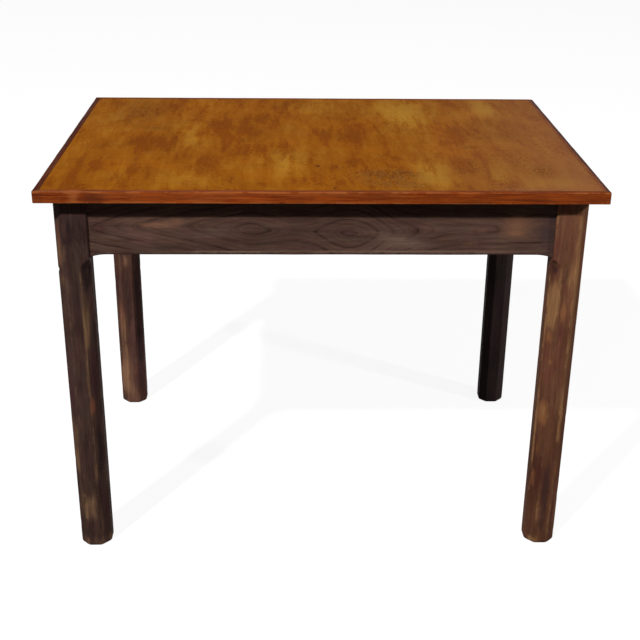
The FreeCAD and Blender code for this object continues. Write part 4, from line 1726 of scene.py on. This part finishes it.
def leg_stock() -> dict[Corner, StainedWood]:
    """Each leg's own wood and stain.

    Returns:
        The finish of each leg.
    """
    return {
        Corner.FRONT_LEFT: StainedWood(
            "stained_leg_front_left", LogCut(Along.HEIGHT, 2.0, (0.2, -0.52, -0.36), 0.0042, 0.012, 0.004),
            early=paint(61, 43, 39), late=paint(38, 28, 27), bare=paint(126, 95, 68),
            amber=paint(106, 62, 44), plum=paint(61, 38, 38), olive=paint(64, 50, 42),
            ring_share=0.3, rub=0.3, mottle=0.7),
        Corner.FRONT_RIGHT: StainedWood(
            "stained_leg_front_right", LogCut(Along.HEIGHT, 5.0, (0.5, 0.52, -0.24), 0.0046, 0.014, -0.003),
            early=paint(92, 58, 42), late=paint(64, 40, 31), bare=paint(147, 107, 70),
            amber=paint(124, 80, 51), dusk=paint(56, 36, 33), plum=paint(86, 48, 40), olive=paint(92, 64, 46),
            ring_share=0.3, rub=0.4, mottle=0.65),
        Corner.BACK_LEFT: StainedWood(
            "stained_leg_back_left", LogCut(Along.HEIGHT, 8.0, (0.1, -0.38, 0.36), 0.0044, 0.012, 0.003),
            early=paint(73, 48, 42), late=paint(46, 32, 29), bare=paint(150, 110, 82),
            amber=paint(112, 70, 54), dusk=paint(44, 34, 35), plum=paint(73, 46, 46), olive=paint(78, 56, 46),
            ring_share=0.3, rub=0.15, mottle=0.75),
        Corner.BACK_RIGHT: StainedWood(
            "stained_leg_back_right", LogCut(Along.HEIGHT, 11.0, (0.4, 0.5, 0.35), 0.0044, 0.012, -0.002),
            early=paint(56, 45, 43), late=paint(39, 31, 31), bare=paint(90, 74, 62), plum=paint(54, 38, 40),
            olive=paint(50, 43, 40), ring_share=0.3, rub=0.2, mottle=0.55),
    }


def make_legs() -> list[Leg]:
    """The four legs with their own wood and the wear that the photograph shows on each.

    A patch on a leg is given by its height and its bearing, in degrees from +X towards +Y. A few dark
    and purple-brown patches just under the aprons are painted shade.

    Returns:
        The legs.
    """
    wear = {
        Corner.FRONT_LEFT: WearAndShade(
            worn=patches(
                (0.482, 305, 0.05, 14, 0.78), (0.455, 299, 0.02, 8, 0.3), (0.45, 291, 0.14, 3, 0.35),
                (0.625, 223, 0.03, 16, 0.6), (0.568, 223, 0.012, 15, 0.45), (0.5, 222, 0.05, 14, 0.4),
                (0.245, 224, 0.036, 17, 0.5), (0.19, 222, 0.026, 14, 0.6), (0.1, 224, 0.07, 16, 0.35),
                (0.68, 222, 0.03, 16, 0.3), (0.46, 245, 0.09, 3, 0.22), (0.22, 245, 0.06, 3, 0.3),
                (0.088, 268, 0.028, 21, 0.42, 4), (0.35, 295, 0.24, 2.2, 0.3, 6), (0.05, 301, 0.05, 4, 0.35),
                (0, 270, 0.022, 200, 0.25, 6), (0.4, 180, 0.15, 20, 0.35), (0.12, 90, 0.08, 30, 0.4)),
            amber=patches(
                (0.312, 302, 0.024, 13, 0.7), (0.078, 284, 0.014, 5, 0.5), (0.04, 268, 0.014, 22, 0.4),
                (0.37, 288, 0.05, 7, 0.35), (0.655, 224, 0.04, 14, 0.45), (0.605, 220, 0.016, 8, 0.5)),
            plum=patches(
                (0.375, 316, 0.06, 16, 0.9), (0.46, 266, 0.07, 18, 0.5), (0.335, 225, 0.06, 18, 0.7),
                (0.572, 256, 0.005, 6, 0.9), (0.09, 318, 0.045, 14, 0.6), (0.36, 262, 0.06, 14, 0.4)),
            dusk=patches(
                # The first dusk patch is painted shade: it darkens the stopped chamfer's run-out just under
                # the apron.
                (0.572, 320, 0.032, 24, 0.72), (0.21, 318, 0.065, 19, 0.8), (0.31, 222, 0.03, 14, 0.4),
                (0.42, 332, 0.1, 7, 0.5), (0.66, 275, 0.07, 55, 0.54), (0.475, 270, 0.06, 15, 0.25)),
        ),
        Corner.FRONT_RIGHT: WearAndShade(
            worn=patches(
                (0.512, 228, 0.052, 22, 1, 4), (0.5, 222, 0.022, 14, 0.3), (0.615, 303, 0.08, 9, 0.6),
                (0.578, 283, 0.024, 16, 0.45), (0.655, 284, 0.045, 7, 0.4), (0.33, 300, 0.22, 9, 0.34),
                (0.292, 303, 0.016, 9, 0.4), (0.36, 205, 0.14, 4, 0.5), (0.21, 206, 0.055, 4, 0.7),
                (0.48, 312, 0.2, 12, 0.22), (0.302, 230, 0.018, 20, 0.35), (0, 235, 0.016, 24, 0.5, 6),
                (0.35, 0, 0.16, 22, 0.35)),
            amber=patches(
                (0.296, 230, 0.027, 22, 0.9), (0.51, 268, 0.026, 17, 0.65), (0.235, 230, 0.035, 20, 0.45),
                (0.15, 215, 0.03, 12, 0.5), (0.405, 240, 0.006, 9, 0.8), (0.2, 306, 0.08, 10, 0.5),
                (0.455, 226, 0.016, 20, 0.7)),
            plum=patches(
                (0.65, 226, 0.06, 18, 0.55), (0.468, 268, 0.022, 17, 0.75), (0.165, 240, 0.05, 9, 0.9),
                # The last plum patch is painted shade in the stopped chamfer's run-out just under the apron.
                (0.38, 226, 0.045, 18, 0.5), (0.055, 312, 0.055, 14, 0.7), (0.592, 222, 0.018, 15, 0.8)),
            dusk=patches(
                # The first dusk patch is painted shade in the same run-out just under the apron.
                (0.588, 222, 0.01, 14, 0.8), (0.11, 270, 0.08, 17, 0.8), (0.045, 266, 0.016, 12, 0.3),
                (0.385, 222, 0.025, 14, 0.3), (0.69, 245, 0.025, 60, 0.35)),
        ),
        Corner.BACK_LEFT: WearAndShade(
            worn=patches(
                (0.066, 228, 0.046, 22, 0.85), (0.088, 228, 0.01, 22, 0.4), (0.15, 232, 0.075, 22, 0.42),
                (0.08, 266, 0.085, 26, 0.52), (0.375, 270, 0.015, 18, 0.4), (0.3, 100, 0.16, 20, 0.35)),
            amber=patches((0.235, 236, 0.045, 16, 0.9), (0.08, 284, 0.03, 12, 0.4)),
            plum=patches(
                (0.31, 226, 0.04, 18, 0.6), (0.15, 312, 0.03, 16, 0.6), (0.27, 272, 0.06, 20, 0.4),
                (0.085, 306, 0.03, 10, 0.7), (0.28, 318, 0.3, 18, 0.5)),
            dusk=patches((0.4, 320, 0.42, 19, 0.55, 6), (0.27, 274, 0.075, 18, 0.55)),
        ),
        Corner.BACK_RIGHT: WearAndShade(
            worn=patches((0.2, 40, 0.12, 20, 0.4), (0.45, 110, 0.08, 20, 0.35)),
            plum=patches((0.26, 290, 0.05, 30, 0.6), (0.12, 275, 0.03, 20, 0.5)),
        ),
    }
    nicks = {Corner.FRONT_LEFT: Patch((0.586, 205.0), (0.003, 7.0))}
    return [Leg(corner, wood, wear[corner], nick=nicks.get(corner)) for corner, wood in leg_stock().items()]


def front_apron() -> Apron:
    """The front apron, whose figure, knot and patches follow the photograph.

    The rise and the ridge are courses along the board: places, and the metres that the distance
    from the pith grows or that the pith moves sideways there.

    Returns:
        The board.
    """
    knot = (0.346, -0.325, 0.6725)
    wood = StainedWood(
        "stained_apron_front",
        LogCut(Along.WIDTH, 1.0, (0.0, -0.316, 0.657), 0.019, 0.0, 0.0, 0.012, knot, 0.021, 0.72),
        early=paint(78, 56, 47), late=paint(42, 27, 24), bare=paint(108, 86, 74), amber=paint(112, 77, 57),
        dusk=paint(60, 45, 44), plum=paint(70, 46, 44), olive=paint(70, 59, 50),
        ring_share=0.9, rub=0.5, mottle=0.6)
    wear = WearAndShade(
        worn=patches(
            (0.1, 0.6238, 0.33, 0.0017, 0.85, 6), (-0.35, 0.655, 0.035, 0.01, 0.3),
            (0.145, 0.64, 0.045, 0.014, 0.55), (0.115, 0.668, 0.04, 0.012, 0.35),
            (-0.275, 0.672, 0.05, 0.012, 0.4), (0.05, 0.645, 0.1, 0.014, 0.25)),
        amber=patches(
            (-0.27, 0.676, 0.034, 0.013, 0.51), (-0.305, 0.673, 0.024, 0.006, 0.47),
            (-0.245, 0.684, 0.03, 0.008, 0.15), (0.346, 0.66, 0.018, 0.006, 0.5),
            (0.27, 0.648, 0.11, 0.032, 0.28)),
        plum=patches(
            (0.047, 0.657, 0.02, 0.008, 0.6), (-0.3943, 0.6673, 0.016, 0.008, 0.8),
            (-0.135, 0.664, 0.016, 0.005, 0.6), (-0.06, 0.64, 0.06, 0.014, 0.5),
            # The last plum patch darkens the board's right end beside the front-right leg: partly darker
            # stain, partly painted shade cast by the leg.
            (0.03, 0.682, 0.05, 0.006, 0.15), (0.405, 0.66, 0.018, 0.08, 0.4), (0.31, 0.65, 0.1, 0.03, 0.35)),
        dusk=patches(
            (-0.4, 0.66, 0.02, 0.08, 0.3), (-0.08, 0.663, 0.024, 0.008, 0.42),
            # The last dusk patch darkens the same end beside the front-right leg: partly darker stain, partly
            # painted shade cast by the leg.
            (-0.181, 0.668, 0.012, 0.004, 0.45), (0.404, 0.66, 0.02, 0.2, 0.62)),
    )
    rise = (
        (-0.45, -0.41, -0.327, -0.234, -0.15, -0.137, -0.125, -0.113, -0.1, -0.05, -0.003, 0.009, 0.022,
         0.034, 0.047, 0.06, 0.072, 0.085, 0.098, 0.125, 0.168, 0.205, 0.26, 0.34, 0.45),
        (0.096, 0.0845, 0.0655, 0.0465, 0.0275, 0.024, 0.0225, 0.024, 0.0275, 0.036, 0.0271, 0.0187, 0.0128,
         0.0092, 0.0076, 0.0092, 0.0128, 0.0187, 0.0275, 0.0465, 0.0655, 0.076, 0.081, 0.082, 0.088),
    )
    ridge = (
        (-0.45, -0.327, -0.234, -0.125, -0.05, 0.047, 0.125, 0.168, 0.22, 0.45),
        (0.010, 0.013, 0.014, 0.009, 0.006, 0.0, 0.002, 0.006, 0.011, 0.012),
    )
    return Apron(Side.FRONT, wood, wear, rise, ridge)


def make_aprons() -> list[Apron]:
    """The four aprons.

    Returns:
        The boards, the front one first.
    """
    cuts = {
        Side.BACK: LogCut(Along.WIDTH, 4.0, (-0.15, 0.262, 0.690), 0.0050, 0.034, 0.006, 0.014),
        Side.LEFT: LogCut(Along.DEPTH, 6.0, (0.06, -0.405, 0.650), 0.0048, 0.045, -0.005, 0.014),
        Side.RIGHT: LogCut(Along.DEPTH, 9.0, (-0.10, 0.400, 0.684), 0.0050, 0.040, 0.004, 0.014),
    }
    woods = {side: StainedWood("stained_apron_" + side.name.lower(), cut) for side, cut in cuts.items()}
    return [front_apron(), *(Apron(side, wood) for side, wood in woods.items())]


def make_lippings() -> list[Lipping]:
    """The four strips round the top; the front one's patches follow the photograph.

    Returns:
        The strips, the front one first.
    """
    woods = {
        Side.FRONT: LippingWood(
            "varnished_lipping_front",
            LogCut(Along.WIDTH, 3.0, (0.2, -0.40, 0.80), 0.0030, 0.010, 0.002, 0.006)),
        Side.BACK: LippingWood(
            "varnished_lipping_back",
            LogCut(Along.WIDTH, 7.0, (-0.1, 0.41, 0.79), 0.0032, 0.010, 0.002, 0.006)),
        Side.LEFT: LippingWood(
            "varnished_lipping_left",
            LogCut(Along.DEPTH, 10.0, (0.1, -0.55, 0.80), 0.0030, 0.010, 0.003, 0.006),
            early=paint(86, 33, 4), late=paint(66, 22, 2), shade=paint(66, 18, 2), rub=0.1),
        Side.RIGHT: LippingWood(
            "varnished_lipping_right",
            LogCut(Along.DEPTH, 13.0, (-0.2, 0.56, 0.79), 0.0030, 0.010, 0.003, 0.006),
            early=paint(140, 80, 44), late=paint(104, 52, 30), shade=paint(48, 28, 28), rub=0.15),
    }
    patched = {
        "worn": patches((-0.43, 0.734, 0.01, 0.016, 0.8), (-0.475, 0.744, 0.06, 0.003, 0.4)),
        "dusk": patches(
            (-0.492, 0.733, 0.01, 0.012, 0.35), (-0.392, 0.733, 0.022, 0.011, 0.6),
            (-0.45, 0.735, 0.06, 0.016, 0.12), (0.43, 0.734, 0.08, 0.02, 0.17)),
    }
    more = {Side.FRONT: patched, Side.LEFT: {"outer_dusk": 0.9}, Side.RIGHT: {"outer_dusk": 0.9}}
    return [Lipping(side, wood, **more.get(side, {})) for side, wood in woods.items()]


def make_face() -> FaceVeneer:
    """The veneered face with the blotches, smudges and the small dark mark of the photograph.

    Returns:
        The sheet.
    """
    finish = VeneerFace(
        "golden_veneer", LogCut(Along.WIDTH, 12.0, (0.1, 0.05, 0.30), 0.0075, 0.02, 0.0, 0.03),
        mark_place=(-0.006, -0.196, 0.0), mark_radius=0.0048)
    gold = patches(
        (0.19, 0.21, 0.065, 0.13), (0.2, -0.25, 0.032, 0.08), (0.375, 0.275, 0.026, 0.06),
        (-0.256, 0.02, 0.034, 0.12, 0.5), (-0.42, 0.13, 0.035, 0.11, 0.3), (-0.06, -0.18, 0.033, 0.08, 0.7),
        (-0.23, -0.28, 0.06, 0.06, 0.35), (0.32, -0.26, 0.014, 0.06, 0.8), (-0.02, 0.27, 0.05, 0.06, 0.5),
        (0.41, -0.3, 0.04, 0.03, 0.6), (0.36, 0.2, 0.06, 0.08, 0.35))
    amber = patches(
        (-0.174, 0.02, 0.043, 0.15), (-0.33, -0.01, 0.037, 0.1), (-0.414, -0.19, 0.019, 0.05),
        (0.009, -0.02, 0.03, 0.11, 0.8), (0.077, -0.07, 0.026, 0.16, 0.8), (0.271, 0.02, 0.03, 0.1),
        (0.281, -0.18, 0.043, 0.05, 0.8), (-0.19, -0.243, 0.027, 0.03, 0.7), (-0.1, 0.22, 0.06, 0.09, 0.6),
        (-0.46, -0.25, 0.035, 0.12, 0.5))
    smudge = patches(
        (0.125, -0.24, 0.056, 0.023, 1), (0.122, -0.285, 0.064, 0.044, 0.74), (0.165, -0.32, 0.03, 0.02, 0.3),
        (0.3, -0.21, 0.09, 0.05, 0.35), (0.36, 0.06, 0.05, 0.09, 0.25), (0.403, -0.23, 0.024, 0.038, 0.8),
        (-0.392, 0.22, 0.06, 0.12, 0.52), (-0.338, 0.08, 0.036, 0.02, 0.6), (0.292, -0.06, 0.014, 0.012, 0.6))
    # A painted sheen along the front of the right end, standing in for a reflection.
    painted_sheen = patches((0.41, -0.342, 0.085, 0.012, 0.8))
    return FaceVeneer(finish, gold, amber, smudge, painted_sheen)


def make_hidden() -> HiddenPieces:
    """Finishes for the panel's core and backing, the corner blocks, the buttons and the screws.

    Returns:
        The hidden pieces with their finishes.
    """
    return HiddenPieces(
        RawWood("core_board", LogCut(Along.WIDTH, 14.0, (0.0, 0.1, 0.5), 0.006),
                paint(188, 156, 112), paint(150, 116, 76)),
        RawWood("backing_sheet", LogCut(Along.WIDTH, 15.0, (0.2, 0.12, 0.62), 0.006, 0.03, 0.0, 0.04),
                paint(148, 112, 74), paint(112, 80, 50), 0.5),
        RawWood("sawn_block", LogCut(Along.HEIGHT, 16.0, (0.0, 0.02, 0.05), 0.004),
                paint(176, 136, 92), paint(138, 98, 62)),
        RawWood("turned_button", LogCut(Along.DEPTH, 17.0, (0.0, 0.02, 0.62), 0.003),
                paint(170, 130, 88), paint(132, 94, 58)),
        DullSteel("dull_steel"),
    )


def main() -> None:
    """Builds the studio and every piece of the table."""
    logging.basicConfig(level=logging.INFO, format="%(name)s: %(message)s")
    Studio().build()
    groups = Groups()
    for assembly in (*make_legs(), *make_aprons(), *make_lippings(), make_face(), make_hidden()):
        assembly.build(groups)


if __name__ == "__main__":
    main()
